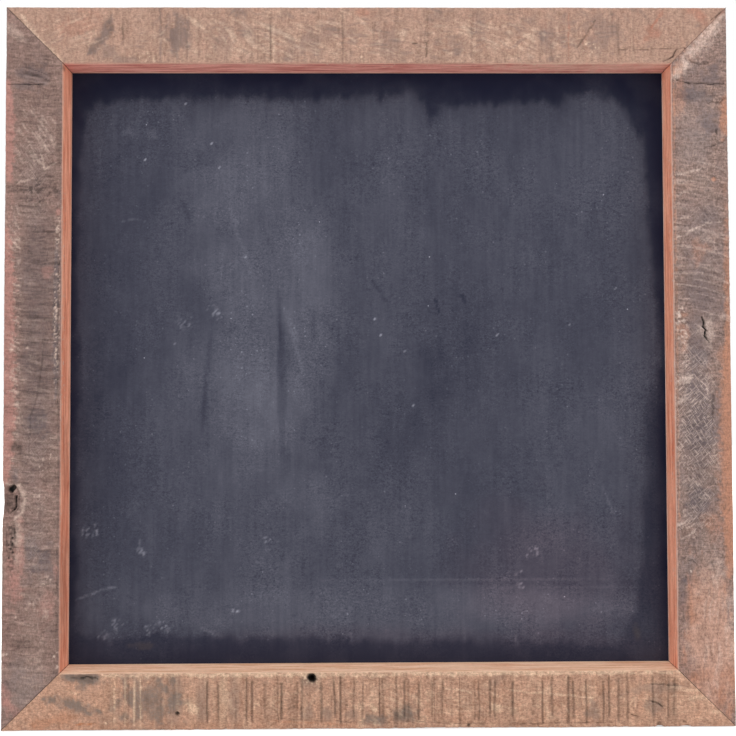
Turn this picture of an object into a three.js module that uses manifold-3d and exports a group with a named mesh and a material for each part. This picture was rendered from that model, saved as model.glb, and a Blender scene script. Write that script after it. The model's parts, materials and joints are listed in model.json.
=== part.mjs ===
// A nearly square chalkboard: a painted panel in a mitred frame of reclaimed hardwood.
// The rails are rabbeted from behind. The panel lies in the rabbet under framer's points, two
// wedge nails cross each mitre from the back, and a ring on a folded strap hangs each stile.
// Sizes are in millimetres. X runs to the right, Z runs up and the front faces -Y. The origin
// lies on the wall, midway between the two hangers and level with the pivots of their rings.

import * as THREE from 'three';
import { mergeVertices } from 'three/addons/utils/BufferGeometryUtils.js';
import Module from 'manifold-3d';

// Frame
const FRAME_WIDTH = 482.6; // across the outer edges of the stiles
const FRAME_HEIGHT = 478.6; // across the outer edges of the top and bottom rails
const FRAME_THICKNESS = 25.4; // front face to back face
const TOP_FACE = 38.1; // width of each front face, outer edge to lip
const RIGHT_FACE = 37.7;
const BOTTOM_FACE = 37.1;
const LEFT_FACE = 38.1;
const RABBET_WIDTH = 9.5; // how far the rabbet is cut out from the lip
const RABBET_DEPTH = 9.5; // how deep it is cut in from the back face
const OUTER_EASE = 1.2; // radius worn on the outer edges
const LIP_EASE = 0.7; // radius sanded on the front edge of the lip
const MITRE_GAP = 0.3; // glue line between two mitred ends

// Old marks in the reclaimed wood
const NAIL_HOLE_WIDTH = 4.6; // at the front face
const NAIL_HOLE_END_WIDTH = 3.2; // at the bottom of the hole
const NAIL_HOLE_DEPTH = 8;
const NAIL_HOLE_FROM_LIP = 3.9; // centre of the hole to the lip of the bottom rail
const NAIL_HOLE_LEFT_OF_MIDDLE = 37.7;
const KNOT_LENGTH = 25; // hollow of a lost knot on the outer edge of the left stile
const KNOT_DEPTH = 1.1;
const KNOT_REACH = 18; // how far the hollow runs back from the front face
const KNOT_BELOW_MIDDLE = 93;

// Panel
const PANEL_THICKNESS = 6.35;
const PANEL_PLAY = 1.6; // edge of the panel to the wall of the rabbet, for the wood to move
const PANEL_EASE = 0.8; // radius on its four corners

// Wedge nails across the mitres
const WEDGE_ARM = 8.5; // length of each arm
const WEDGE_OPENING = 96; // degrees between the arms
const WEDGE_TIP = 2.2; // end of each arm, which turns outward
const WEDGE_TIP_TURN = 22; // degrees that the end turns
const WEDGE_THICKNESS = 0.5;
const WEDGE_HEIGHT = 10; // how deep it is driven
const WEDGE_BELOW_BACK = 0.3; // set below the back face
const WEDGE_FROM_CORNER = [12, 27]; // along the mitre, from the outer corner

// Framer's points over the panel
const POINTS_PER_SIDE = 3;
const POINT_WIDTH = 6.4;
const POINT_THICKNESS = 0.5;
const POINT_BITE = 7; // length driven into the wood
const POINT_LAP = 7.4; // length lying over the panel
const POINT_TIP = 3; // length of the tapered tip

// Hangers
const HANGER_DROP = 110; // ring pivot below the top edge of the frame
const STRAP_WIDTH = 10;
const STRAP_SHEET = 0.9; // the strip that is folded double round the ring
const STRAP_BLEND = 50; // degrees below level where the loop runs into the tail
const RING_WIRE = 2.4; // diameter
const RING_CORNER = 2; // bend radius beside the straight side, at the wire's centre
const RING_SIDE_PLAY = 0.2; // straight wire beyond each side of the strap
const RING_REACH = 14.2; // straight side to the far side of the bow, between centres
const RING_BUTT = 0.6; // open butt joint in the straight side, inside the loop

// Hanger screws
const SCREW_HEAD = 6.6; // diameter
const SCREW_HEAD_HEIGHT = 2.3;
const SCREW_RIM = 0.9; // straight side of the pan head, below its dome
const SCREW_SHANK = 3.5; // diameter
const SCREW_LENGTH = 16; // under the head, tip included
const SCREW_TIP = 3.5;

// Clearances
const SEAT_GAP = 0.3; // between two pieces that lie on each other
const FIT_GAP = 0.3; // round a piece that is driven into a hole, slot or pocket

// Smoothness
const ARC_STEPS = 3; // on half of a small corner
const ROUND_STEPS = 32; // on a full circle
const WIRE_SIDES = 10;
const RING_STEPS = 66;

// Depths, from the wall towards the front
const loopInner = RING_WIRE / 2 + FIT_GAP;
const loopOuter = loopInner + STRAP_SHEET;
const backFace = -(SEAT_GAP + 2 * loopOuter);
const frontFace = backFace - FRAME_THICKNESS;
const rabbetSeat = backFace - RABBET_DEPTH;
const panelFront = rabbetSeat + SEAT_GAP;
const panelBack = panelFront + PANEL_THICKNESS;
const pointFront = panelBack + SEAT_GAP;
const loopAxis = backFace + SEAT_GAP + loopOuter;
const strapFront = backFace + SEAT_GAP;
const strapBack = strapFront + 2 * STRAP_SHEET;

// Hanger places
const pivotAboveMiddle = FRAME_HEIGHT / 2 - HANGER_DROP;
const hangerInset = (Math.min(LEFT_FACE, RIGHT_FACE) - RABBET_WIDTH) / 2;
const hangerFromMiddle = FRAME_WIDTH / 2 - hangerInset;
const screwDrop = RING_REACH + RING_WIRE / 2 + SEAT_GAP + SCREW_HEAD / 2;
const screwSeat = strapBack + SEAT_GAP;

const degrees = THREE.MathUtils.degToRad;
const wasm = await Module();
wasm.setup();

const materials = {
  topWood: new THREE.MeshStandardMaterial({ color: 0xa98b76, roughness: 0.85, metalness: 0 }),
  rightWood: new THREE.MeshStandardMaterial({ color: 0x8c6c58, roughness: 0.88, metalness: 0 }),
  bottomWood: new THREE.MeshStandardMaterial({ color: 0xbb9c7c, roughness: 0.85, metalness: 0 }),
  leftWood: new THREE.MeshStandardMaterial({ color: 0xa3836f, roughness: 0.85, metalness: 0 }),
  slate: new THREE.MeshStandardMaterial({ color: 0x40434e, roughness: 0.92, metalness: 0 }),
  zinc: new THREE.MeshStandardMaterial({ color: 0xb9bcc0, roughness: 0.35, metalness: 1 }),
};

// The four rails in clockwise order, as seen from the front. Each is laid out as the top rail,
// with its outer edge at z = reach, and then turned about Y to its side of the frame.
const sides = [
  { name: 'top_rail', face: TOP_FACE, material: materials.topWood },
  { name: 'right_stile', face: RIGHT_FACE, material: materials.rightWood },
  { name: 'bottom_rail', face: BOTTOM_FACE, material: materials.bottomWood },
  { name: 'left_stile', face: LEFT_FACE, material: materials.leftWood },
];
sides.forEach((side, index) => {
  const upright = index % 2 === 1;
  side.turn = index * Math.PI / 2;
  side.half = (upright ? FRAME_HEIGHT : FRAME_WIDTH) / 2;
  side.reach = (upright ? FRAME_WIDTH : FRAME_HEIGHT) / 2;
  side.faceBefore = sides[(index + 3) % 4].face;
  side.faceAfter = sides[(index + 1) % 4].face;
});

// Closed outline through corners [a, b, radius], with an arc at each corner that has a radius.
function roundedOutline(corners) {
  const shape = new THREE.Shape();
  corners.forEach(([a, b, radius = 0], index) => {
    const corner = new THREE.Vector2(a, b);
    if (radius === 0) {
      if (index === 0) shape.moveTo(a, b);
      else shape.lineTo(a, b);
      return;
    }
    const before = corners[(index + corners.length - 1) % corners.length];
    const after = corners[(index + 1) % corners.length];
    const toBefore = new THREE.Vector2(before[0], before[1]).sub(corner).normalize();
    const toAfter = new THREE.Vector2(after[0], after[1]).sub(corner).normalize();
    const halfAngle = Math.acos(THREE.MathUtils.clamp(toBefore.dot(toAfter), -1, 1)) / 2;
    const centre = toBefore.clone().add(toAfter).normalize()
      .multiplyScalar(radius / Math.sin(halfAngle)).add(corner);
    const run = radius / Math.tan(halfAngle);
    const from = toBefore.multiplyScalar(run).add(corner);
    const to = toAfter.multiplyScalar(run).add(corner);
    const clockwise = (from.x - centre.x) * (to.y - centre.y) < (from.y - centre.y) * (to.x - centre.x);
    if (index === 0) shape.moveTo(from.x, from.y);
    else shape.lineTo(from.x, from.y);
    shape.absarc(centre.x, centre.y, radius,
      Math.atan2(from.y - centre.y, from.x - centre.x),
      Math.atan2(to.y - centre.y, to.x - centre.x), clockwise);
  });
  shape.closePath();
  return shape;
}

// Strip of even width along a bent line of points, with mitred bends and square ends.
function stripOutline(line, halfWidth) {
  const edge = (sign) => line.map((point, index) => {
    const before = line[Math.max(index - 1, 0)];
    const after = line[Math.min(index + 1, line.length - 1)];
    const into = index === 0 ? after.clone().sub(point) : point.clone().sub(before);
    const out = index === line.length - 1 ? into.clone() : after.clone().sub(point);
    const normalIn = new THREE.Vector2(-into.y, into.x).normalize();
    const normalOut = new THREE.Vector2(-out.y, out.x).normalize();
    const bisector = normalIn.clone().add(normalOut).normalize();
    return bisector.multiplyScalar(sign * halfWidth / bisector.dot(normalIn)).add(point);
  });
  return new THREE.Shape([...edge(1), ...edge(-1).reverse()]);
}

// Outline drawn in X and Z, made a plate that runs from front to back along Y.
function plate(outline, front, back) {
  const geometry = new THREE.ExtrudeGeometry(outline, {
    depth: back - front, bevelEnabled: false, curveSegments: ARC_STEPS,
  });
  return geometry.rotateX(Math.PI / 2).translate(0, back, 0);
}

// Profile drawn in Y and Z, made a bar centred on X.
function bar(profile, length, curveSegments = ARC_STEPS) {
  const geometry = new THREE.ExtrudeGeometry(profile, { depth: length, bevelEnabled: false, curveSegments });
  const axes = new THREE.Matrix4().makeBasis(
    new THREE.Vector3(0, 1, 0), new THREE.Vector3(0, 0, 1), new THREE.Vector3(1, 0, 0));
  return geometry.applyMatrix4(axes).translate(-length / 2, 0, 0);
}

// A closed geometry as a solid that can be cut.
function solidOf(geometry) {
  const bare = new THREE.BufferGeometry();
  bare.setAttribute('position', geometry.getAttribute('position').clone());
  if (geometry.index) bare.setIndex(geometry.index.clone());
  const welded = mergeVertices(bare);
  return new wasm.Manifold(new wasm.Mesh({
    numProp: 3,
    vertProperties: Float32Array.from(welded.getAttribute('position').array),
    triVerts: Uint32Array.from(welded.index.array),
  }));
}

// The surface of a solid as a geometry.
function geometryOf(solid) {
  const { vertProperties, triVerts } = solid.getMesh();
  const geometry = new THREE.BufferGeometry();
  geometry.setAttribute('position', new THREE.BufferAttribute(vertProperties, 3));
  geometry.setIndex(new THREE.BufferAttribute(triVerts, 1));
  geometry.computeVertexNormals();
  return geometry;
}

function named(name, geometry, material) {
  const mesh = new THREE.Mesh(geometry, material);
  mesh.name = name;
  return mesh;
}

// A cutter is a geometry that has the place of a mesh.
function placed(geometry, { position, rotation }) {
  const matrix = new THREE.Matrix4().makeRotationFromEuler(rotation).setPosition(position);
  return geometry.clone().applyMatrix4(matrix);
}

// Place along a side: s runs along it from its middle and z is measured from the frame's middle.
function placeOnSide(side, s, z, turn = 0) {
  const position = new THREE.Vector3(s, 0, z).applyAxisAngle(new THREE.Vector3(0, 1, 0), side.turn);
  return { position, rotation: new THREE.Euler(0, side.turn + turn, 0) };
}

// L-shaped section of a rail, drawn in Y and Z.
function railProfile({ face, reach }) {
  const lip = reach - face;
  const rabbetWall = lip + RABBET_WIDTH;
  return roundedOutline([
    [frontFace, reach, OUTER_EASE],
    [backFace, reach, OUTER_EASE],
    [backFace, rabbetWall],
    [rabbetSeat, rabbetWall],
    [rabbetSeat, lip],
    [frontFace, lip, LIP_EASE],
  ]);
}

// Trapezium that a rail keeps between its two mitres, each half a glue line short.
function mitreOutline({ half, reach, face, faceBefore, faceAfter }) {
  const beyond = OUTER_EASE + LIP_EASE;
  const end = (sign, nextFace) => {
    const run = Math.hypot(nextFace, face);
    const back = (MITRE_GAP / 2) * (run / face);
    return (z) => sign * (half - nextFace * (reach - z) / face - back);
  };
  const leftAt = end(-1, faceBefore);
  const rightAt = end(1, faceAfter);
  const high = reach + beyond;
  const low = reach - face - beyond;
  return roundedOutline([[leftAt(high), high], [rightAt(high), high], [rightAt(low), low], [leftAt(low), low]]);
}

// Places of the wedge nails on the mitre at the clockwise end of a side.
function wedgePlaces(side) {
  const { half, reach, face, faceAfter } = side;
  const run = Math.hypot(face, faceAfter);
  return WEDGE_FROM_CORNER.map((distance) => placeOnSide(
    side, half - faceAfter * distance / run, reach - face * distance / run,
    Math.atan2(face, -faceAfter)));
}

// Wedge nail seen from the back: its point is at the origin, its arms open along +X.
function wedgeOutline(grow) {
  const lean = degrees(WEDGE_OPENING / 2);
  const knee = new THREE.Vector2(Math.cos(lean), Math.sin(lean)).multiplyScalar(WEDGE_ARM - WEDGE_TIP);
  const tipLean = lean + degrees(WEDGE_TIP_TURN);
  const tip = new THREE.Vector2(Math.cos(tipLean), Math.sin(tipLean)).multiplyScalar(WEDGE_TIP + grow).add(knee);
  const mirrored = ({ x, y }) => new THREE.Vector2(x, -y);
  const line = [tip, knee, new THREE.Vector2(0, 0), mirrored(knee), mirrored(tip)];
  return stripOutline(line, WEDGE_THICKNESS / 2 + grow);
}

function wedgeNail() {
  const back = backFace - WEDGE_BELOW_BACK;
  return plate(wedgeOutline(0), back - WEDGE_HEIGHT, back);
}

// The pocket is open at the back face.
function wedgePocket() {
  const floor = backFace - WEDGE_BELOW_BACK - WEDGE_HEIGHT - FIT_GAP;
  return plate(wedgeOutline(FIT_GAP), floor, backFace + OUTER_EASE);
}

// Places of the framer's points on a side, at the foot of the rabbet's wall.
function pointPlaces(side) {
  const span = 2 * side.half - side.faceBefore - side.faceAfter;
  const wall = side.reach - side.face + RABBET_WIDTH;
  return Array.from({ length: POINTS_PER_SIDE }, (_, index) => placeOnSide(
    side, (index - (POINTS_PER_SIDE - 1) / 2) * span / POINTS_PER_SIDE, wall));
}

// Framer's point seen from the back: the wall of the rabbet runs along X through the origin.
function framersPoint(grow = 0) {
  const half = POINT_WIDTH / 2 + grow;
  const tail = -(PANEL_PLAY + POINT_LAP);
  const shoulder = POINT_BITE - POINT_TIP;
  const outline = roundedOutline([
    [-half, tail], [half, tail], [half, shoulder + grow], [0, POINT_BITE + 2 * grow], [-half, shoulder + grow],
  ]);
  return plate(outline, pointFront - grow, pointFront + POINT_THICKNESS + grow);
}

// Hanger screw, or the hole that takes it, revolved round Y with its head towards the wall.
function hangerScrew() {
  const domeRise = SCREW_HEAD_HEIGHT - SCREW_RIM;
  const domeSteps = 2 * ARC_STEPS;
  const dome = Array.from({ length: domeSteps }, (_, index) => {
    const angle = (index / domeSteps) * Math.PI / 2;
    return new THREE.Vector2(SCREW_HEAD / 2 * Math.cos(angle), SCREW_RIM + domeRise * Math.sin(angle));
  });
  return new THREE.LatheGeometry([
    new THREE.Vector2(0, -SCREW_LENGTH),
    new THREE.Vector2(SCREW_SHANK / 2, SCREW_TIP - SCREW_LENGTH),
    new THREE.Vector2(SCREW_SHANK / 2, 0),
    new THREE.Vector2(SCREW_HEAD / 2, 0),
    ...dome,
    new THREE.Vector2(0, SCREW_HEAD_HEIGHT),
  ], ROUND_STEPS);
}

function screwHole() {
  return new THREE.LatheGeometry([
    new THREE.Vector2(0, -SCREW_LENGTH - 2 * FIT_GAP),
    new THREE.Vector2(SCREW_SHANK / 2 + FIT_GAP, SCREW_TIP - SCREW_LENGTH - FIT_GAP),
    new THREE.Vector2(SCREW_SHANK / 2 + FIT_GAP, SCREW_HEAD_HEIGHT),
    new THREE.Vector2(0, SCREW_HEAD_HEIGHT),
  ], ROUND_STEPS);
}

// Tapered hole that an old nail left in the bottom rail.
function nailHole() {
  const past = OUTER_EASE;
  const hole = new THREE.CylinderGeometry(
    NAIL_HOLE_END_WIDTH / 2, NAIL_HOLE_WIDTH / 2, NAIL_HOLE_DEPTH + past, ROUND_STEPS);
  return hole.translate(-NAIL_HOLE_LEFT_OF_MIDDLE, frontFace + (NAIL_HOLE_DEPTH - past) / 2,
    BOTTOM_FACE - NAIL_HOLE_FROM_LIP - FRAME_HEIGHT / 2);
}

// Shallow hollow in the front outer edge of the left stile.
function knotHollow() {
  return new THREE.SphereGeometry(1, ROUND_STEPS, ROUND_STEPS / 2)
    .scale(KNOT_DEPTH, KNOT_REACH, KNOT_LENGTH / 2)
    .translate(-FRAME_WIDTH / 2, frontFace, -KNOT_BELOW_MIDDLE);
}

// A rail, cut to its mitres, with its share of the pockets, slots and holes.
function rail(side, cutters) {
  const blank = solidOf(bar(railProfile(side), 2 * side.half));
  const between = solidOf(plate(mitreOutline(side), frontFace - OUTER_EASE, backFace + OUTER_EASE));
  const shaped = cutters.reduce(
    (solid, cutter) => solid.subtract(solidOf(cutter.rotateY(-side.turn))), blank.intersect(between));
  return geometryOf(shaped).rotateY(side.turn);
}

function panel() {
  const edge = RABBET_WIDTH - PANEL_PLAY;
  const left = LEFT_FACE - edge - FRAME_WIDTH / 2;
  const right = FRAME_WIDTH / 2 - RIGHT_FACE + edge;
  const bottom = BOTTOM_FACE - edge - FRAME_HEIGHT / 2;
  const top = FRAME_HEIGHT / 2 - TOP_FACE + edge;
  return plate(roundedOutline([
    [left, bottom, PANEL_EASE], [right, bottom, PANEL_EASE], [right, top, PANEL_EASE], [left, top, PANEL_EASE],
  ]), panelFront, panelBack);
}

// Strip folded double round the ring: a loop at the pivot and a screwed tail below it.
function hangerStrap() {
  const tailEnd = -(screwDrop + STRAP_WIDTH / 2);
  const blend = degrees(STRAP_BLEND);
  const slope = (loopOuter * Math.cos(blend) + loopAxis - strapBack) / Math.sin(blend);
  const profile = new THREE.Shape();
  profile.moveTo(strapFront, tailEnd);
  profile.lineTo(strapFront, 0);
  profile.absarc(loopAxis, 0, loopOuter, Math.PI, -blend, true);
  profile.lineTo(strapBack, -loopOuter * Math.sin(blend) - slope * Math.cos(blend));
  profile.lineTo(strapBack, tailEnd);
  profile.closePath();
  const eye = new THREE.Path();
  eye.absarc(loopAxis, 0, loopInner, 0, 2 * Math.PI, false);
  profile.holes.push(eye);
  const half = STRAP_WIDTH / 2;
  const plan = new THREE.Shape();
  plan.moveTo(half, 2 * loopOuter);
  plan.lineTo(-half, 2 * loopOuter);
  plan.lineTo(-half, -screwDrop);
  plan.absarc(0, -screwDrop, half, Math.PI, 2 * Math.PI, false);
  plan.closePath();
  const folded = solidOf(bar(profile, 2 * STRAP_WIDTH, ROUND_STEPS / 2));
  const trimmed = folded.intersect(solidOf(plate(plan, backFace, 0)));
  return geometryOf(trimmed.subtract(solidOf(screwHole().translate(0, screwSeat, -screwDrop))));
}

// D-shaped ring of bent wire: the straight side lies along X through the origin, the bow hangs.
function hangerRing() {
  const half = STRAP_WIDTH / 2 + RING_SIDE_PLAY + RING_CORNER;
  const straightEnd = half - RING_CORNER;
  const bowCentre = -(RING_REACH - half);
  const butt = RING_BUTT / 2;
  const outline = new THREE.Path();
  outline.moveTo(butt, 0);
  outline.lineTo(straightEnd, 0);
  outline.absarc(straightEnd, -RING_CORNER, RING_CORNER, Math.PI / 2, 0, true);
  outline.lineTo(half, bowCentre);
  outline.absarc(0, bowCentre, half, 0, -Math.PI, true);
  outline.lineTo(-half, -RING_CORNER);
  outline.absarc(-straightEnd, -RING_CORNER, RING_CORNER, Math.PI, Math.PI / 2, true);
  outline.lineTo(-butt, 0);
  const points = outline.getSpacedPoints(RING_STEPS).map(({ x, y }) => new THREE.Vector3(x, 0, y));
  const wire = new THREE.Shape();
  wire.absarc(0, 0, RING_WIRE / 2, 0, 2 * Math.PI, false);
  return new THREE.ExtrudeGeometry(wire, {
    steps: RING_STEPS, curveSegments: WIRE_SIDES / 2,
    extrudePath: new THREE.CatmullRomCurve3(points, false, 'centripetal'),
  });
}

// At rest the bow of the ring leans on the tail of its strap.
const ringLean = Math.asin((strapBack + SEAT_GAP + RING_WIRE / 2 - loopAxis) / RING_REACH);

const wedges = sides.map(wedgePlaces);
const points = sides.map(pointPlaces);
const screwPlaces = { right_stile: hangerFromMiddle, left_stile: -hangerFromMiddle };
const oldMarks = { bottom_rail: [nailHole], left_stile: [knotHollow] };

const frame = new THREE.Group();
frame.position.z = -pivotAboveMiddle;

sides.forEach((side, index) => {
  const cutters = [
    ...wedges[index].map((place) => placed(wedgePocket(), place)),
    ...wedges[(index + 3) % 4].map((place) => placed(wedgePocket(), place)),
    ...points[index].map((place) => placed(framersPoint(FIT_GAP), place)),
    ...(oldMarks[side.name] ?? []).map((mark) => mark()),
  ];
  if (side.name in screwPlaces) {
    cutters.push(screwHole().translate(screwPlaces[side.name], screwSeat, pivotAboveMiddle - screwDrop));
  }
  frame.add(named(side.name, rail(side, cutters), side.material));
});

frame.add(named('writing_panel', panel(), materials.slate));

const cornerNames = ['top_right', 'bottom_right', 'bottom_left', 'top_left'];
const wedgeGeometry = wedgeNail();
wedges.forEach((places, corner) => places.forEach((place, index) => {
  const nail = named(`wedge_nail_${cornerNames[corner]}_${index + 1}`, wedgeGeometry, materials.zinc);
  nail.position.copy(place.position);
  nail.rotation.copy(place.rotation);
  frame.add(nail);
}));

const sideNames = ['top', 'right', 'bottom', 'left'];
const pointGeometry = framersPoint();
points.forEach((places, side) => places.forEach((place, index) => {
  const point = named(`framers_point_${sideNames[side]}_${index + 1}`, pointGeometry, materials.zinc);
  point.position.copy(place.position);
  point.rotation.copy(place.rotation);
  frame.add(point);
}));

const strapGeometry = hangerStrap();
const ringGeometry = hangerRing();
const screwGeometry = hangerScrew();
const hangers = new THREE.Group();
for (const [hand, x] of [['left', -hangerFromMiddle], ['right', hangerFromMiddle]]) {
  const hanger = new THREE.Group();
  hanger.position.x = x;
  const ring = named(`hanger_ring_${hand}`, ringGeometry, materials.zinc);
  ring.position.y = loopAxis;
  ring.rotation.x = ringLean;
  const screw = named(`hanger_screw_${hand}`, screwGeometry, materials.zinc);
  screw.position.set(0, screwSeat, -screwDrop);
  hanger.add(named(`hanger_strap_${hand}`, strapGeometry, materials.zinc), ring, screw);
  hangers.add(hanger);
}

const chalkboard = new THREE.Group();
chalkboard.add(frame, hangers);

export default chalkboard;
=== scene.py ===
"""Dresses the framed chalkboard: rough-sawn hardwood rails, a dusty painted panel, plated fixings.

Sizes are in millimetres, as on the maker's drawing, and become metres where a mesh is placed.
A place on a rail is written as along and across: along from the left end of a level rail or the
top end of an upright one, across from its outer edge towards the panel. A place on the panel is
written as right and down, from the upper left corner of the part of it that shows.
"""

import json
import logging
import math
from collections.abc import Iterable, Iterator
from dataclasses import dataclass, field
from enum import Enum

import bmesh
import bpy
import numpy as np
from bmesh.types import BMEdge, BMesh, BMVert
from mathutils import Euler, Matrix, Vector


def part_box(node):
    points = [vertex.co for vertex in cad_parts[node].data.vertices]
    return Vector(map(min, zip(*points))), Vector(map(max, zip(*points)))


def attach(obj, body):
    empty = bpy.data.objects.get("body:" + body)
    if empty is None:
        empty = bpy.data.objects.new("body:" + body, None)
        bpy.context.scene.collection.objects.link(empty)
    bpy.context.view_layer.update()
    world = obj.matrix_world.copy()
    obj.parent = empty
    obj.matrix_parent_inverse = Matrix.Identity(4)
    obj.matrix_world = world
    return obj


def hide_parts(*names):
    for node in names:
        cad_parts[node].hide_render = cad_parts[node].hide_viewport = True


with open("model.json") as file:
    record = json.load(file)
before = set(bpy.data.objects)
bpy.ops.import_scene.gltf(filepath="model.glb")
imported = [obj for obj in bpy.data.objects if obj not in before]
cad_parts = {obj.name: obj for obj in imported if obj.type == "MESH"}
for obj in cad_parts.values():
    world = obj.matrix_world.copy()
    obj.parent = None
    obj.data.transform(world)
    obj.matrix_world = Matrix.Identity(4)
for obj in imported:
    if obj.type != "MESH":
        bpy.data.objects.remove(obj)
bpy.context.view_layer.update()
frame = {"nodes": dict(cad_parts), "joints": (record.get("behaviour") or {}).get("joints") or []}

MM = 0.001
Values = np.ndarray
Place = tuple[float, float]
Tone = tuple[int, int, int]
Socket = bpy.types.NodeSocket
Material = bpy.types.Material
Piece = bpy.types.Object
log = logging.getLogger("chalkboard")


# Noise that is the same on every run


def lattice(column: Values, row: Values, seed: int) -> Values:
    """Pick one value from -1 to 1 for each whole-numbered place of a grid.

    Args:
        column: Whole-numbered columns.
        row: Whole-numbered rows, of the same shape.
        seed: Seed of the noise.

    Returns:
        One value for each place.
    """
    mask = 0xFFFFFFFF
    mixed = (column.astype(np.int64) * 374761393 + row.astype(np.int64) * 668265263 + seed * 974711) & mask
    mixed = ((mixed ^ (mixed >> 13)) * 1274126177) & mask
    return ((mixed ^ (mixed >> 16)) & 0xFFFF) / 32767.5 - 1.0


def noise(x: Values, y: Values, seed: int) -> Values:
    """Blend the values of the grid smoothly, one cell to a unit.

    Args:
        x: First coordinate, in cells.
        y: Second coordinate, in cells.
        seed: Seed of the noise.

    Returns:
        Values from -1 to 1.
    """
    column, row = np.floor(x), np.floor(y)
    u, v = x - column, y - row
    u, v = u * u * (3 - 2 * u), v * v * (3 - 2 * v)
    low = lattice(column, row, seed) * (1 - u) + lattice(column + 1, row, seed) * u
    high = lattice(column, row + 1, seed) * (1 - u) + lattice(column + 1, row + 1, seed) * u
    return low * (1 - v) + high * v


def rough(x: Values, y: Values, seed: int, octaves: int = 3) -> Values:
    """Add finer and fainter copies of the noise to itself.

    Args:
        x: First coordinate, in cells of the coarsest copy.
        y: Second coordinate, in the same cells.
        seed: Seed of the noise.
        octaves: How many copies are added.

    Returns:
        Values from about -1 to 1.
    """
    total = np.zeros_like(x)
    for octave in range(octaves):
        total += noise(x * 2**octave, y * 2**octave, seed + octave) / 2**octave
    return total / (2 - 2 ** (1 - octaves))


def ease(low: float, high: float, value: Values) -> Values:
    """Rise smoothly from 0 to 1 as a value goes from low to high, or fall where high is less."""
    t = np.clip((value - low) / (high - low), 0.0, 1.0)
    return t * t * (3 - 2 * t)


def nearest(x: Values, y: Values, path: tuple[Place, ...]) -> tuple[Values, Values]:
    """Find the nearest place on a path of straight steps.

    Args:
        x: First coordinate of each place.
        y: Second coordinate of each place.
        path: Corners of the path.

    Returns:
        The distance of each place from the path, and where on the path that is, from 0 to 1.
    """
    steps = [math.dist(p, q) for p, q in zip(path, path[1:])]
    least, where, before = np.full_like(x, np.inf), np.zeros_like(x), 0.0
    for p, q, step in zip(path, path[1:], steps):
        t = np.clip(((x - p[0]) * (q[0] - p[0]) + (y - p[1]) * (q[1] - p[1])) / step**2, 0, 1)
        gap = np.hypot(x - p[0] - t * (q[0] - p[0]), y - p[1] - t * (q[1] - p[1]))
        where = np.where(gap < least, before + t * step, where)
        least = np.minimum(gap, least)
        before += step
    return least, where / before


# Marks on a surface


class Layer(Enum):
    """What a mark adds to a rail."""

    GREY = "grey"
    RUST = "rust"
    # Darkening: dirt, dark stains, cracks and saw lines, and painted shade down the nail hole
    SHADE = "shade"
    PALE = "pale"
    SCRATCH = "scratch"


class Trace(Enum):
    """What a mark adds to the panel."""

    DUST = "dust"
    WARM = "warm"
    STAIN = "stain"


@dataclass(frozen=True)
class Mark:
    """One mark of use: what it adds, how strongly, and how deep it lies.

    Attributes:
        layer: What it adds.
        strength: How much of it, or less than 0 where it takes some away.
        depth: How far it sinks the surface. Less than 0 raises it.
        through: Whether it also darkens what lies below the surface: painted shade down the wall of the nail
            hole, and the dark knot reaching into the wood.
    """

    layer: Enum
    strength: float
    depth: float = field(default=0.0, kw_only=True)
    through: bool = field(default=False, kw_only=True)

    def weight(self, x: Values, y: Values, seed: int) -> Values:
        """Share of the mark at each place, from 0 to 1."""
        raise NotImplementedError


@dataclass(frozen=True)
class Patch(Mark):
    """Soft oval stain with a ragged edge.

    Attributes:
        at: Its middle.
        size: Its length and width before it is turned.
        turn: Degrees from the first axis towards the second.
        ragged: How far noise breaks its edge, as a share of its size.
        soft: Width of its edge, as a share of its size.
        grain: Size of the noise at its edge.
    """

    at: Place
    size: Place
    turn: float = 0.0
    ragged: float = 0.75
    soft: float = 0.7
    grain: float = 4.5

    def weight(self, x: Values, y: Values, seed: int) -> Values:
        """Share of the stain at each place.

        Args:
            x: First coordinate of each place.
            y: Second coordinate of each place.
            seed: Seed of its noise.

        Returns:
            Values from 0 to 1.
        """
        angle = math.radians(self.turn)
        a, b = x - self.at[0], y - self.at[1]
        u = (a * math.cos(angle) + b * math.sin(angle)) / (self.size[0] * 0.62)
        v = (b * math.cos(angle) - a * math.sin(angle)) / (self.size[1] * 0.62)
        reach = np.hypot(u, v) + self.ragged * rough(x / self.grain, y / self.grain, seed)
        return ease(1.0, 1.0 - self.soft, reach)


@dataclass(frozen=True)
class Stroke(Mark):
    """Crack, scratch or line through a few places.

    Attributes:
        path: Its places.
        width: Its width in the middle.
        wander: How far it strays from straight.
        soft: Share of the width that fades out.
        broken: How far noise breaks it up, from 0 to 1.
    """

    path: tuple[Place, ...]
    width: float
    wander: float = 1.0
    soft: float = 0.7
    broken: float = 0.65

    def weight(self, x: Values, y: Values, seed: int) -> Values:
        """Share of the line at each place, tapering towards both ends.

        Args:
            x: First coordinate of each place.
            y: Second coordinate of each place.
            seed: Seed of its noise.

        Returns:
            Values from 0 to 1.
        """
        u, v = x / 2.6, y / 2.6
        gap, where = nearest(
            x + self.wander * rough(u, v, seed), y + self.wander * rough(u, v, seed + 4), self.path)
        middle = 1 - np.abs(2 * where - 1)
        half = self.width / 2 * (0.35 + 0.65 * np.sqrt(np.clip(middle * 2, 0, 1)))
        half = half * (1 + 0.5 * noise(x / 1.7, y / 1.7, seed + 8))
        whole = ease(-0.75, -0.1, noise(x / 3.4, y / 3.4, seed + 9))
        return ease(1.0, 1.0 - self.soft, gap / half) * (1 - self.broken * (1 - whole))


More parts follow.
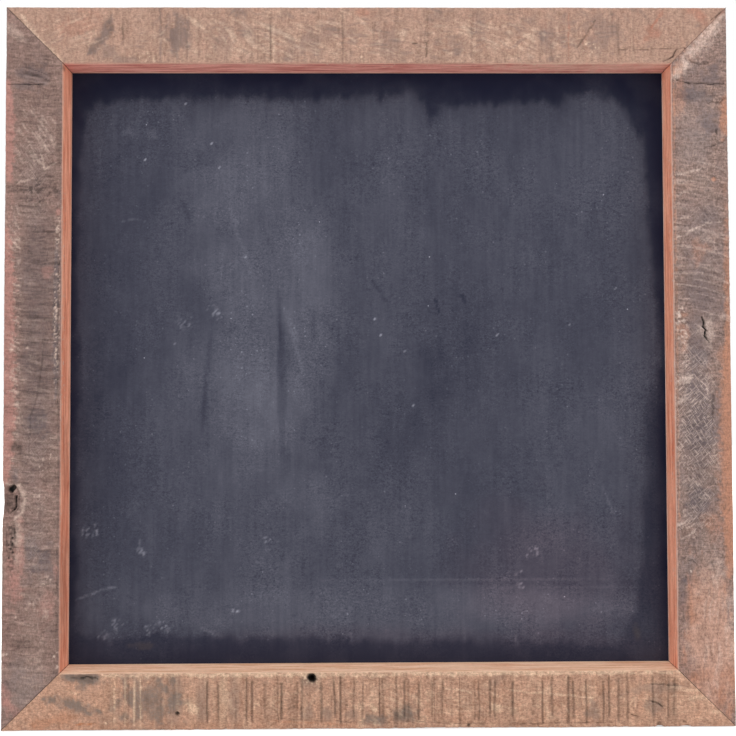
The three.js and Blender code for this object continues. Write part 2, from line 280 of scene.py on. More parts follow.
@dataclass(frozen=True)
class Hatch(Mark):
    """Fine parallel scratches inside a soft oval.

    Attributes:
        at: Its middle.
        size: Its length and width.
        lean: Degrees of the scratches from the first axis towards the second.
        pitch: Mean distance between scratches.
        run: Mean length of a scratch.
    """

    at: Place
    size: Place
    lean: float
    pitch: float = 1.8
    run: float = 9.0

    def weight(self, x: Values, y: Values, seed: int) -> Values:
        """Share of the scratches at each place.

        Args:
            x: First coordinate of each place.
            y: Second coordinate of each place.
            seed: Seed of its noise.

        Returns:
            Values from 0 to 1.
        """
        inside = Patch(self.layer, 1.0, self.at, self.size).weight(x, y, seed)
        angle = math.radians(self.lean) + 0.12 * noise(x / 14, y / 14, seed + 6)
        a, b = x - self.at[0], y - self.at[1]
        u = a * np.cos(angle) + b * np.sin(angle)
        v = b * np.cos(angle) - a * np.sin(angle)
        lines = noise(u / self.run, v / self.pitch * 1.6, seed + 7)
        return inside * ease(0.05, 0.65, lines + 0.15 * noise(x / 1.3, y / 1.3, seed + 9))


@dataclass(frozen=True)
class Speckle(Mark):
    """Scattered flecks inside a soft oval.

    Attributes:
        at: Its middle.
        size: Its length and width.
        fleck: Size of one fleck.
        share: How much of the surface the flecks cover, from 0 to 1.
    """

    at: Place
    size: Place
    fleck: float = 1.4
    share: float = 0.3

    def weight(self, x: Values, y: Values, seed: int) -> Values:
        """Share of the flecks at each place.

        Args:
            x: First coordinate of each place.
            y: Second coordinate of each place.
            seed: Seed of its noise.

        Returns:
            Values from 0 to 1.
        """
        inside = Patch(self.layer, 1.0, self.at, self.size, ragged=0.3).weight(x, y, seed)
        edge = 1 - 2 * self.share
        return inside * ease(edge - 0.15, edge + 0.35, noise(x / self.fleck, y / self.fleck, seed + 3))


@dataclass(frozen=True)
class SawMarks:
    """Marks that a saw left across a whole rail.

    Attributes:
        pitch: Mean distance between them, along the rail.
        slope: Shift along the rail from the outer edge to the lip.
        bow: Further shift in the middle of the face, for a round blade.
        dark: Strength of the dark lines.
        pale: Strength of the light ridges between them.
        depth: Depth of a line.
        span: Part of the rail's length that has them.
        strong: Places along the rail of the deepest lines.
        strong_dark: Strength of the deepest lines.
    """

    pitch: float
    slope: float = 0.0
    bow: float = 0.0
    dark: float = 0.3
    pale: float = 0.2
    depth: float = 0.12
    span: Place = (-50.0, 550.0)
    strong: tuple[float, ...] = ()
    strong_dark: float = 0.4


@dataclass(frozen=True)
class Hollow:
    """Place where the front outer edge of a rail is worn or broken away.

    Attributes:
        at: Its middle, along the rail.
        length: Its length along the rail.
        reach: How far it runs back from the front face.
        depth: How deep it goes, across the rail.
    """

    at: float
    length: float
    reach: float
    depth: float

    def sink(self, along: Values, depth: Values) -> Values:
        """How far each place on the outer edge moves in."""
        left = 1 - ((along - self.at) / (self.length / 2)) ** 2 - (depth / self.reach) ** 2
        return self.depth * np.sqrt(np.clip(left, 0, 1))


# The frame's layout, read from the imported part


class Side(Enum):
    """A rail of the frame, by the name of its node."""

    TOP = "top_rail"
    RIGHT = "right_stile"
    BOTTOM = "bottom_rail"
    LEFT = "left_stile"

    @property
    def word(self) -> str:
        """The side's name alone."""
        return self.value.split("_")[0]

    @property
    def level(self) -> bool:
        """Whether the rail runs left to right."""
        return self in (Side.TOP, Side.BOTTOM)

    @property
    def ends(self) -> tuple["Side", "Side"]:
        """The rails that it meets at its left or top end, and at its other end."""
        return (Side.LEFT, Side.RIGHT) if self.level else (Side.TOP, Side.BOTTOM)

    @property
    def framers_points(self) -> tuple[str, ...]:
        """Nodes of the framer's points in the rail."""
        return tuple(f"framers_point_{self.word}_{number}" for number in (1, 2, 3))


class Corner(Enum):
    """A mitred corner, by the level rail and the stile that meet there."""

    TOP_LEFT = (Side.TOP, Side.LEFT)
    TOP_RIGHT = (Side.TOP, Side.RIGHT)
    BOTTOM_RIGHT = (Side.BOTTOM, Side.RIGHT)
    BOTTOM_LEFT = (Side.BOTTOM, Side.LEFT)

    @property
    def word(self) -> str:
        """The corner's name, as its wedge nails have it."""
        return self.name.lower()

    @property
    def wedge_nails(self) -> tuple[str, ...]:
        """Nodes of the wedge nails across the mitre."""
        return tuple(f"wedge_nail_{self.word}_{number}" for number in (1, 2))


@dataclass(frozen=True)
class Layout:
    """Places of the frame's faces, in the part's own axes.

    Attributes:
        left: Outer face of the left stile.
        right: Outer face of the right stile.
        bottom: Bottom of the frame.
        top: Top of the frame.
        front: Front face.
        back: Back face.
        lip_back: Face of the rabbet that the panel lies against.
        face: Width of each rail's front face.
        rabbet: Width of the rabbet, from the lip's wall outwards.
    """

    left: float
    right: float
    bottom: float
    top: float
    front: float
    back: float
    lip_back: float
    face: dict[Side, float]
    rabbet: float = 9.5

    @classmethod
    def from_part(cls, seat_gap: float = 0.3) -> "Layout":
        """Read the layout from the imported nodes.

        Args:
            seat_gap: Gap between the panel's face and the rabbet it lies against.

        Returns:
            The layout.
        """
        box = {side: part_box(side.value) for side in Side}
        face = {side: (hi.z - lo.z if side.level else hi.x - lo.x) / MM for side, (lo, hi) in box.items()}
        return cls(
            left=box[Side.LEFT][0].x / MM,
            right=box[Side.RIGHT][1].x / MM,
            bottom=box[Side.BOTTOM][0].z / MM,
            top=box[Side.TOP][1].z / MM,
            front=box[Side.TOP][0].y / MM,
            back=box[Side.TOP][1].y / MM,
            lip_back=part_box("writing_panel")[0].y / MM - seat_gap,
            face=face,
        )

    @property
    def middle(self) -> Vector:
        """Middle of the front face, in metres."""
        return Vector(((self.left + self.right) / 2, self.front, (self.bottom + self.top) / 2)) * MM

    def length(self, side: Side) -> float:
        """Length of a rail along its outer edge."""
        return self.right - self.left if side.level else self.top - self.bottom

    def matrix(self, side: Side) -> Matrix:
        """Matrix from along, depth and across in millimetres to the part's metres.

        Args:
            side: Which rail they belong to.

        Returns:
            The matrix.
        """
        along, across, origin = {
            Side.TOP: ((1, 0, 0), (0, 0, -1), (self.left, self.front, self.top)),
            Side.BOTTOM: ((1, 0, 0), (0, 0, 1), (self.left, self.front, self.bottom)),
            Side.LEFT: ((0, 0, -1), (1, 0, 0), (self.left, self.front, self.top)),
            Side.RIGHT: ((0, 0, -1), (-1, 0, 0), (self.right, self.front, self.top)),
        }[side]
        basis = Matrix((along, (0, 1, 0), across)).transposed().to_4x4()
        return Matrix.Scale(MM, 4) @ Matrix.Translation(origin) @ basis


# Meshes


def finished(name: str, bm: BMesh, smooth: float | None = 40.0) -> Piece:
    """Turn a bmesh into a linked object at the origin.

    Args:
        name: Name of the piece.
        bm: Its mesh, which is freed.
        smooth: Edges turned less than this many degrees are shaded smooth, or None for flat.

    Returns:
        The object.
    """
    mesh = bpy.data.meshes.new(name)
    bm.to_mesh(mesh)
    bm.free()
    piece = bpy.data.objects.new(name, mesh)
    bpy.context.scene.collection.objects.link(piece)
    if smooth is not None:
        shade(piece, smooth)
    return piece


def shade(piece: Piece, smooth: float) -> None:
    """Shade a piece smooth, apart from edges turned more than some degrees."""
    piece.data.shade_smooth()
    piece.data.set_sharp_from_angle(angle=math.radians(smooth))


def store(mesh: bpy.types.Mesh, name: str, values: Values) -> None:
    """Keep one value for each vertex, for a material to read.

    Args:
        mesh: The mesh.
        name: Name of the attribute.
        values: One value for each vertex.
    """
    layer = mesh.attributes.new(name, "FLOAT", "POINT")
    layer.data.foreach_set("value", values.astype(np.float32))


def local_places(mesh: bpy.types.Mesh, matrix: Matrix) -> Values:
    """The vertices' places before a matrix was applied.

    Args:
        mesh: The mesh.
        matrix: The matrix.

    Returns:
        Three rows, one for each coordinate.
    """
    flat = np.empty(len(mesh.vertices) * 3, np.float32)
    mesh.vertices.foreach_get("co", flat)
    places = np.c_[flat.reshape(-1, 3).astype(float), np.ones(len(mesh.vertices))]
    return (places @ np.array(matrix.inverted()).T)[:, :3].T


def only(kind: type, items: Iterable) -> list:
    """The items that are of one kind."""
    return [item for item in items if isinstance(item, kind)]


class Change(Enum):
    """What other closed meshes do to a piece."""

    CUT = "DIFFERENCE"
    JOIN = "UNION"


def combine(piece: Piece, others: Iterable[Piece], change: Change) -> None:
    """Cut closed meshes out of a piece or join them to it, and remove them.

    Args:
        piece: The piece, whose mesh is replaced.
        others: The other meshes.
        change: Whether they are cut out or joined.
    """
    others = list(others)
    for other in others:
        step = piece.modifiers.new("step", "BOOLEAN")
        step.operation, step.solver, step.object = change.value, "MANIFOLD", other
    graph = bpy.context.evaluated_depsgraph_get()
    mesh = bpy.data.meshes.new_from_object(piece.evaluated_get(graph), depsgraph=graph)
    piece.modifiers.clear()
    old, piece.data = piece.data, mesh
    bpy.data.meshes.remove(old)
    mesh.name = piece.name
    mesh.materials.clear()
    for other in others:
        bpy.data.meshes.remove(other.data)


def copy_of_node(node: str) -> BMesh:
    """Copy a node's shape and join its loose triangles into whole faces.

    Args:
        node: The node.

    Returns:
        The mesh.
    """
    bm = bmesh.new()
    bm.from_mesh(frame["nodes"][node].data)
    bmesh.ops.remove_doubles(bm, verts=bm.verts, dist=1e-6)
    bmesh.ops.dissolve_limit(bm, angle_limit=math.radians(1), verts=bm.verts, edges=bm.edges)
    return bm


def eased(node: str, radius: float, sharp: float = 35.0) -> BMesh:
    """A bmesh of a node's shape with its sharp edges rounded.

    Args:
        node: The node.
        radius: Radius of the rounding.
        sharp: Edges turned more than this many degrees are rounded.

    Returns:
        The mesh.
    """
    bm = copy_of_node(node)
    edges = [edge for edge in bm.edges if edge.calc_face_angle(0.0) > math.radians(sharp)]
    bmesh.ops.bevel(bm, geom=edges, offset=radius * MM, offset_type="OFFSET", segments=2,
                    affect="EDGES", profile=0.5, material=-1, clamp_overlap=True)
    return bm


def pocket(node: str, clearance: float = 0.22, opening: float = 0.0) -> Piece:
    """Make a cutter a little larger than a driven piece.

    Args:
        node: The piece's node.
        clearance: Gap all round it.
        opening: How far the cutter runs past the piece towards the back.

    Returns:
        The cutter.
    """
    bm = copy_of_node(node)
    bm.normal_update()
    back = max(vert.co.y for vert in bm.verts)
    moved = [vert.co + vert.normal * vert.calc_shell_factor() * clearance * MM for vert in bm.verts]
    for vert, place in zip(bm.verts, moved):
        if opening and vert.co.y > back - 1e-5:
            place.y += opening * MM
        vert.co = place
    return finished(f"cutter_{node}", bm, smooth=None)


def nail_pockets(corner: Corner, opening: float = 1.5) -> list[Piece]:
    """Cutters for the wedge nails across a mitre, which are driven from the back."""
    return [pocket(nail, opening=opening) for nail in corner.wedge_nails]


def place_piece(piece: Piece, body: str, *nodes: str) -> None:
    """Let a piece stand for its nodes, ride on its body and be reported.

    Args:
        piece: The piece.
        body: The body it rides on.
        nodes: Nodes that it replaces.
    """
    if nodes:
        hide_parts(*nodes)
    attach(piece, body)
    log.info("%s: %d faces", piece.name, len(piece.data.polygons))


# Materials


def linear(tone: Tone) -> tuple[float, float, float]:
    """Scene-linear colour of a red, green and blue on the usual scale to 255."""
    return tuple(c / 3294.6 if c <= 10 else ((c / 255 + 0.055) / 1.055) ** 2.4 for c in tone)


class Shading:
    """One material, with short calls that add its nodes."""

    def __init__(self, name: str) -> None:
        """Start a material that has only a principled shader.

        Args:
            name: Its name.
        """
        self.material = bpy.data.materials.new(name)
        self.material.use_nodes = True
        self.tree = self.material.node_tree
        self.shader = self.tree.nodes["Principled BSDF"]

    def node(self, kind: str, inputs: dict | None = None, **settings: object) -> bpy.types.Node:
        """Add a node.

        Args:
            kind: Its type, without the leading ShaderNode.
            inputs: Values, colours to 255 or sockets for its inputs, by name or number.
            settings: Its other settings.

        Returns:
            The node.
        """
        node = self.tree.nodes.new("ShaderNode" + kind)
        for key, value in settings.items():
            setattr(node, key, value)
        for key, value in (inputs or {}).items():
            self.feed(node.inputs[key], value)
        return node

    def feed(self, socket: Socket, value: object) -> None:
        """Link a socket to an input, or set the input's value.

        Args:
            socket: The input.
            value: Another socket, a colour to 255 or a plain value.
        """
        if isinstance(value, Socket):
            self.tree.links.new(value, socket)
        elif socket.type == "RGBA":
            socket.default_value = (*linear(value), 1.0)
        else:
            socket.default_value = value

    def math(self, operation: str, first: Socket | float, second: Socket | float = 0.0) -> Socket:
        """Result of one sum on one or two values."""
        return self.node("Math", {0: first, 1: second}, operation=operation).outputs[0]

    def plus(self, first: Socket, second: Socket | float) -> Socket:
        """Two values added."""
        return self.math("ADD", first, second)

    def times(self, first: Socket, second: Socket | float) -> Socket:
        """Two values multiplied."""
        return self.math("MULTIPLY", first, second)

    def layer(self, name: str) -> Socket:
        """Value of a vertex attribute."""
        return self.node("Attribute", attribute_name=name).outputs["Fac"]

    def mix(self, share: Socket | float, under: Socket | Tone, over: Socket | Tone,
            blend: str = "MIX") -> Socket:
        """Blend two colours.

        Args:
            share: How much of the second, from 0 to 1.
            under: First colour.
            over: Second colour.
            blend: How they are blended.

        Returns:
            The colour.
        """
        inputs = {0: share, 6: under, 7: over}
        return self.node("Mix", inputs, data_type="RGBA", blend_type=blend).outputs[2]

    def place(self, cells: tuple[float, float, float], turned: bool = False) -> Socket:
        """Object coordinates scaled to cells of noise.

        Args:
            cells: Size of a cell along X, Y and Z.
            turned: Whether X and Z swap roles, for an upright rail.

        Returns:
            The vector.
        """
        x, y, z = (1 / (size * MM) for size in cells)
        source = self.node("TexCoord").outputs["Object"]
        scale = (z, y, x) if turned else (x, y, z)
        return self.node("Mapping", {"Vector": source, "Scale": scale}).outputs[0]

    def noise(self, vector: Socket, detail: float = 2.0, roughness: float = 0.5,
              distortion: float = 0.0) -> Socket:
        """Noise from about 0.2 to 0.8, one cell to a unit of the vector."""
        inputs = {"Vector": vector, "Scale": 1.0, "Detail": detail, "Roughness": roughness}
        return self.node("TexNoise", inputs | {"Distortion": distortion}).outputs[0]

    def lines(self, lean: float, length: float, gap: float) -> Socket:
        """Noise in short parallel lines on the front.

        Args:
            lean: Degrees of the lines from level.
            length: Length of a line, in millimetres.
            gap: Size of the noise across the lines.

        Returns:
            The noise.
        """
        source = self.node("TexCoord").outputs["Object"]
        turn, scale = (0, math.radians(lean), 0), (length * MM, MM, gap * MM)
        inputs = {"Vector": source, "Rotation": turn, "Scale": scale}
        return self.noise(self.node("Mapping", inputs, vector_type="TEXTURE").outputs[0], detail=1)

    def dots(self, vector: Socket, radius: float, share: float) -> Socket:
        """Scattered dots, one or none to a cell of the vector.

        Args:
            vector: Coordinates, one cell to a unit.
            radius: Radius of a dot, in cells.
            share: Share of the cells that have one.

        Returns:
            Value from 0 to 1.
        """
        cell = self.node("TexVoronoi", {"Vector": vector, "Scale": 1.0})
        chosen = self.node("SeparateColor", {0: cell.outputs["Color"]}).outputs[0]
        size = self.spread(chosen, 1 - share, 1.0, 0.0, radius)
        return self.math("LESS_THAN", cell.outputs["Distance"], size)

    def spread(self, value: Socket, low: float, high: float, to_low: float = 0.0,
               to_high: float = 1.0) -> Socket:
        """Stretch the part of a value from low to high over another range, and clamp it."""
        return self.node("MapRange", {0: value, 1: low, 2: high, 3: to_low, 4: to_high}).outputs[0]

    def grey(self, value: Socket) -> Socket:
        """The value as a grey colour."""
        return self.node("CombineColor", {0: value, 1: value, 2: value}).outputs[0]

    def surface(self, **inputs: Socket | float | Tone) -> Material:
        """Feed the shader's inputs.

        Args:
            inputs: Values for them, by their names with underscores for spaces.

        Returns:
            The material.
        """
        for name, value in inputs.items():
            self.feed(self.shader.inputs[name.replace("_", " ")], value)
        return self.material

    def bump(self, height: Socket, distance: float, strength: float = 1.0) -> None:
        """Press a height into the shader's normal.

        Args:
            height: Height from 0 to 1.
            distance: Height of 1, in millimetres.
            strength: How much of it shows.
        """
        inputs = {"Height": height, "Distance": distance * MM, "Strength": strength}
        self.feed(self.shader.inputs["Normal"], self.node("Bump", inputs).outputs[0])


@dataclass(frozen=True)
class Timber:
    """Finish of one rail: its colours, and how coarse its surface is.

    Attributes:
        sound: Brown of the weathered sawn face.
        deep: Darker brown in its tears and grain.
        grey: Silvered or dirty grey over it.
        rust: Red-orange heartwood that shows through.
        pale: Torn, light fibres, and the painted highlights along the edges of the wall beside the panel.
        fresh: Smooth wall that was cut when the frame was made: pale fresh-cut wood, set lighter still as
            painted light, since the wall lies in the shade of the recess.
        fresh_streak: Darker streaks in that wall.
        planed: Wood of the back.
        planed_streak: Darker streaks in the back.
        contrast: How strongly the fine grain shows.
        kerf: How much of the fine grain runs with the saw, from 0 to 0.5.
        weathered: How far the wood has gone grey in patches.
        flushed: How far the heartwood shows in patches.
    """

    sound: Tone
    deep: Tone
    grey: Tone
    rust: Tone
    pale: Tone
    fresh: Tone
    fresh_streak: Tone
    planed: Tone = (184, 142, 110)
    planed_streak: Tone = (146, 102, 74)
    contrast: float = 0.65
    kerf: float = 0.25
    weathered: float = 0.5
    flushed: float = 0.35

    def material(self, name: str, upright: bool) -> Material:
        """Build the material.

        Args:
            name: Its name.
            upright: Whether the grain runs up and down.

        Returns:
            The material.
        """
        s = Shading(name)
        fibre = s.noise(s.place((4.5, 1.3, 1.3), upright), detail=4, roughness=0.65, distortion=1.9)
        kerf = s.noise(s.place((1.5, 6.0, 6.0), upright), detail=3, roughness=0.6, distortion=0.7)
        tear = s.noise(s.place((1.9, 1.3, 1.3), upright), detail=5, roughness=0.75, distortion=0.5)
        fine = s.plus(s.times(fibre, 0.25), s.times(kerf, self.kerf))
        fine = s.plus(fine, s.times(tear, 0.75 - self.kerf))
        smooth = s.plus(s.times(fibre, 0.3), 0.35)
        fresh = s.layer("fresh")
        fine = s.plus(s.times(fine, s.math("SUBTRACT", 1.0, fresh)), s.times(smooth, fresh))
        broken = s.spread(tear, 0.36, 0.62, 0.6, 1.35)
        colour = s.mix(fresh, self.sawn(s, upright, fine, broken), self.planed_or_fresh(s, upright))
        colour = s.mix(s.times(s.layer("pale"), broken), colour, self.pale)
        bright = s.spread(fine, 0.38, 0.62, 1 - 0.4 * self.contrast, 1 + 0.4 * self.contrast)
        lit = s.times(bright, s.math("SUBTRACT", 1.0, s.layer("shade")))
        colour = s.mix(1.0, colour, s.grey(lit), "MULTIPLY")
        s.bump(s.math("SUBTRACT", fine, s.times(s.layer("shade"), 0.3)), 1.3, 0.8)
        gloss = s.spread(fine, 0.35, 0.65, 0.95, 0.78)
        return s.surface(Base_Color=colour, Roughness=gloss, Specular_IOR_Level=0.25)

    def sawn(self, s: Shading, upright: bool, fine: Socket, broken: Socket) -> Socket:
        """Mix the colour of the old sawn surface.

        Args:
            s: The material.
            upright: Whether the grain runs up and down.
            fine: The fine grain.
            broken: How strongly a layer shows where the surface is torn.

        Returns:
            The colour.
        """
        blotch = s.noise(s.place((13.0, 9.0, 8.0), upright), detail=5, roughness=0.7, distortion=0.9)
        flush = s.noise(s.place((9.0, 30.0, 16.0), upright), detail=4, roughness=0.65, distortion=0.7)
        crossed = s.math("MAXIMUM", s.lines(56, 5.5, 0.65), s.lines(-44, 4.5, 0.65))
        colour = s.mix(s.spread(fine, 0.42, 0.58, self.contrast, 0.0), self.sound, self.deep)
        colour = s.mix(s.spread(blotch, 0.5, 0.72, 0.0, self.weathered), colour, self.grey)
        colour = s.mix(s.spread(flush, 0.5, 0.72, 0.0, self.flushed), colour, self.rust)
        colour = s.mix(s.times(s.layer("grey"), broken), colour, self.grey)
        colour = s.mix(s.times(s.layer("rust"), broken), colour, self.rust)
        scratched = s.times(s.layer("scratch"), s.spread(crossed, 0.53, 0.7, 0.0, 0.7))
        return s.mix(scratched, colour, self.pale)

    def planed_or_fresh(self, s: Shading, upright: bool) -> Socket:
        """Mix the colour of the smooth surfaces: the wall beside the panel, and the back.

        Args:
            s: The material.
            upright: Whether the grain runs up and down.

        Returns:
            The colour.
        """
        streak = s.noise(s.place((34.0, 2.0, 2.0), upright), detail=3, roughness=0.6, distortion=0.4)
        streaks = s.spread(streak, 0.4, 0.64)
        # The wall's colour is lighter than the wood itself: painted light for the shaded wall beside the
        # panel
        wall = s.mix(streaks, self.fresh, self.fresh_streak)
        return s.mix(s.layer("back"), wall, s.mix(streaks, self.planed, self.planed_streak))


@dataclass(frozen=True)
class ChalkPaint:
    """Matte black board paint with chalk rubbed into it.

    Attributes:
        paint: The bare paint.
        chalk: Chalk dust.
        warm_chalk: Dust that has picked up the red of the wood.
        stain: Brown water stain.
    """

    paint: Tone = (20, 23, 44)
    chalk: Tone = (208, 208, 224)
    warm_chalk: Tone = (222, 204, 218)
    stain: Tone = (96, 84, 76)

    def material(self) -> Material:
        """Build the material.

        Returns:
            The material.
        """
        s = Shading("chalkboard_paint")
        grain = s.noise(s.place((1.3, 1.3, 1.3)), detail=3, roughness=0.75, distortion=0.8)
        patch = s.noise(s.place((26, 26, 34)), detail=3, roughness=0.6)
        wipe = s.noise(s.place((2.6, 4.0, 34.0)), detail=2)
        ripple = s.noise(s.place((3.4, 3.4, 1.5)), detail=2, roughness=0.6, distortion=1.2)
        rubbed = s.spread(patch, 0.38, 0.62, 0.25, 1.0)
        even = s.plus(s.spread(grain, 0.3, 0.7, -0.48, 0.48), s.spread(ripple, 0.3, 0.7, -0.28, 0.28))
        even = s.plus(s.times(even, rubbed), s.spread(wipe, 0.3, 0.7, -0.1, 0.1))
        share = s.times(s.layer("dust"), s.plus(even, 1.0))
        specks = s.times(s.dots(s.place((15, 15, 15)), 0.04, 0.7), 0.4)
        crumbs = s.times(s.dots(s.place((3.6, 3.6, 3.6)), 0.19, 0.55), s.layer("dust"))
        crumbs = s.times(crumbs, rubbed)
        share = s.plus(share, s.math("MAXIMUM", specks, s.times(crumbs, 1.1)))
        chalk = s.mix(s.layer("warm"), self.chalk, self.warm_chalk)
        colour = s.mix(share, self.paint, chalk)
        colour = s.mix(s.times(s.layer("stain"), 0.5), colour, self.stain)
        s.bump(s.plus(grain, wipe), 0.06, 0.4)
        gloss = s.spread(share, 0.0, 0.2, 0.72, 0.92)
        return s.surface(Base_Color=colour, Roughness=gloss, Specular_IOR_Level=0.12)


@dataclass(frozen=True)
class Hardboard:
    """Brown tempered hardboard with the print of a wire screen.

    Attributes:
        brown: Its colour.
        fibre: Its darker fibres.
        cloud: Its paler colour in wide patches.
        screen: Distance between the wires of the screen.
    """

    brown: Tone = (126, 90, 62)
    fibre: Tone = (84, 58, 40)
    cloud: Tone = (150, 112, 80)
    screen: float = 1.7

    def material(self) -> Material:
        """Build the material.

        Returns:
            The material.
        """
        s = Shading("hardboard")
        fibres = s.noise(s.place((3.0, 3.0, 3.0)), detail=4, roughness=0.7, distortion=1.2)
        patch = s.noise(s.place((60.0, 60.0, 45.0)), detail=2)
        axes = s.node("SeparateXYZ", {0: s.place((self.screen / math.tau,) * 3)}).outputs
        wires = s.times(s.math("SINE", axes[0]), s.math("SINE", axes[2]))
        dark = s.plus(s.spread(fibres, 0.4, 0.7, 0.7, 0.0), s.spread(wires, -1.0, 1.0, 0.2, 0.0))
        colour = s.mix(dark, self.brown, self.fibre)
        colour = s.mix(s.spread(patch, 0.35, 0.65, 0.0, 0.16), colour, self.cloud)
        s.bump(s.plus(s.times(wires, 0.5), fibres), 0.12, 0.6)
        return s.surface(Base_Color=colour, Roughness=0.7, Specular_IOR_Level=0.3)


@dataclass(frozen=True)
class ZincPlate:
    """Bright zinc plating, a little dulled.

    Attributes:
        zinc: Its colour.
        dull: Its colour where it has dulled.
    """

    zinc: Tone = (218, 220, 224)
    dull: Tone = (160, 160, 158)

    def material(self) -> Material:
        """Build the material.

        Returns:
            The material.
        """
        s = Shading("zinc_plate")
        cloud = s.noise(s.place((2.6, 2.6, 2.6)), detail=4, roughness=0.6)
        scratch = s.noise(s.place((0.12, 2.0, 4.0)), detail=2)
        colour = s.mix(s.spread(cloud, 0.35, 0.7, 0.0, 0.8), self.zinc, self.dull)
        s.bump(s.plus(cloud, scratch), 0.02, 0.5)
        gloss = s.plus(s.spread(cloud, 0.3, 0.7, 0.26, 0.46), s.spread(scratch, 0.5, 0.7, 0.0, 0.12))
        return s.surface(Base_Color=colour, Metallic=1.0, Roughness=gloss)


@dataclass(frozen=True)
class DriedGlue:
    """Old glue and dirt in a mitre.

    Attributes:
        tone: Its colour.
    """

    tone: Tone

    def material(self, name: str) -> Material:
        """Build the material.

        Args:
            name: Its name.

        Returns:
            The material.
        """
        s = Shading(name)
        grime = s.noise(s.place((3.0, 3.0, 3.0)), detail=3)
        darker = tuple(c // 2 for c in self.tone)
        colour = s.mix(s.spread(grime, 0.35, 0.65), self.tone, darker)
        s.bump(grime, 0.1, 0.5)
        return s.surface(Base_Color=colour, Roughness=s.spread(grime, 0.3, 0.7, 0.5, 0.85))


# Rails


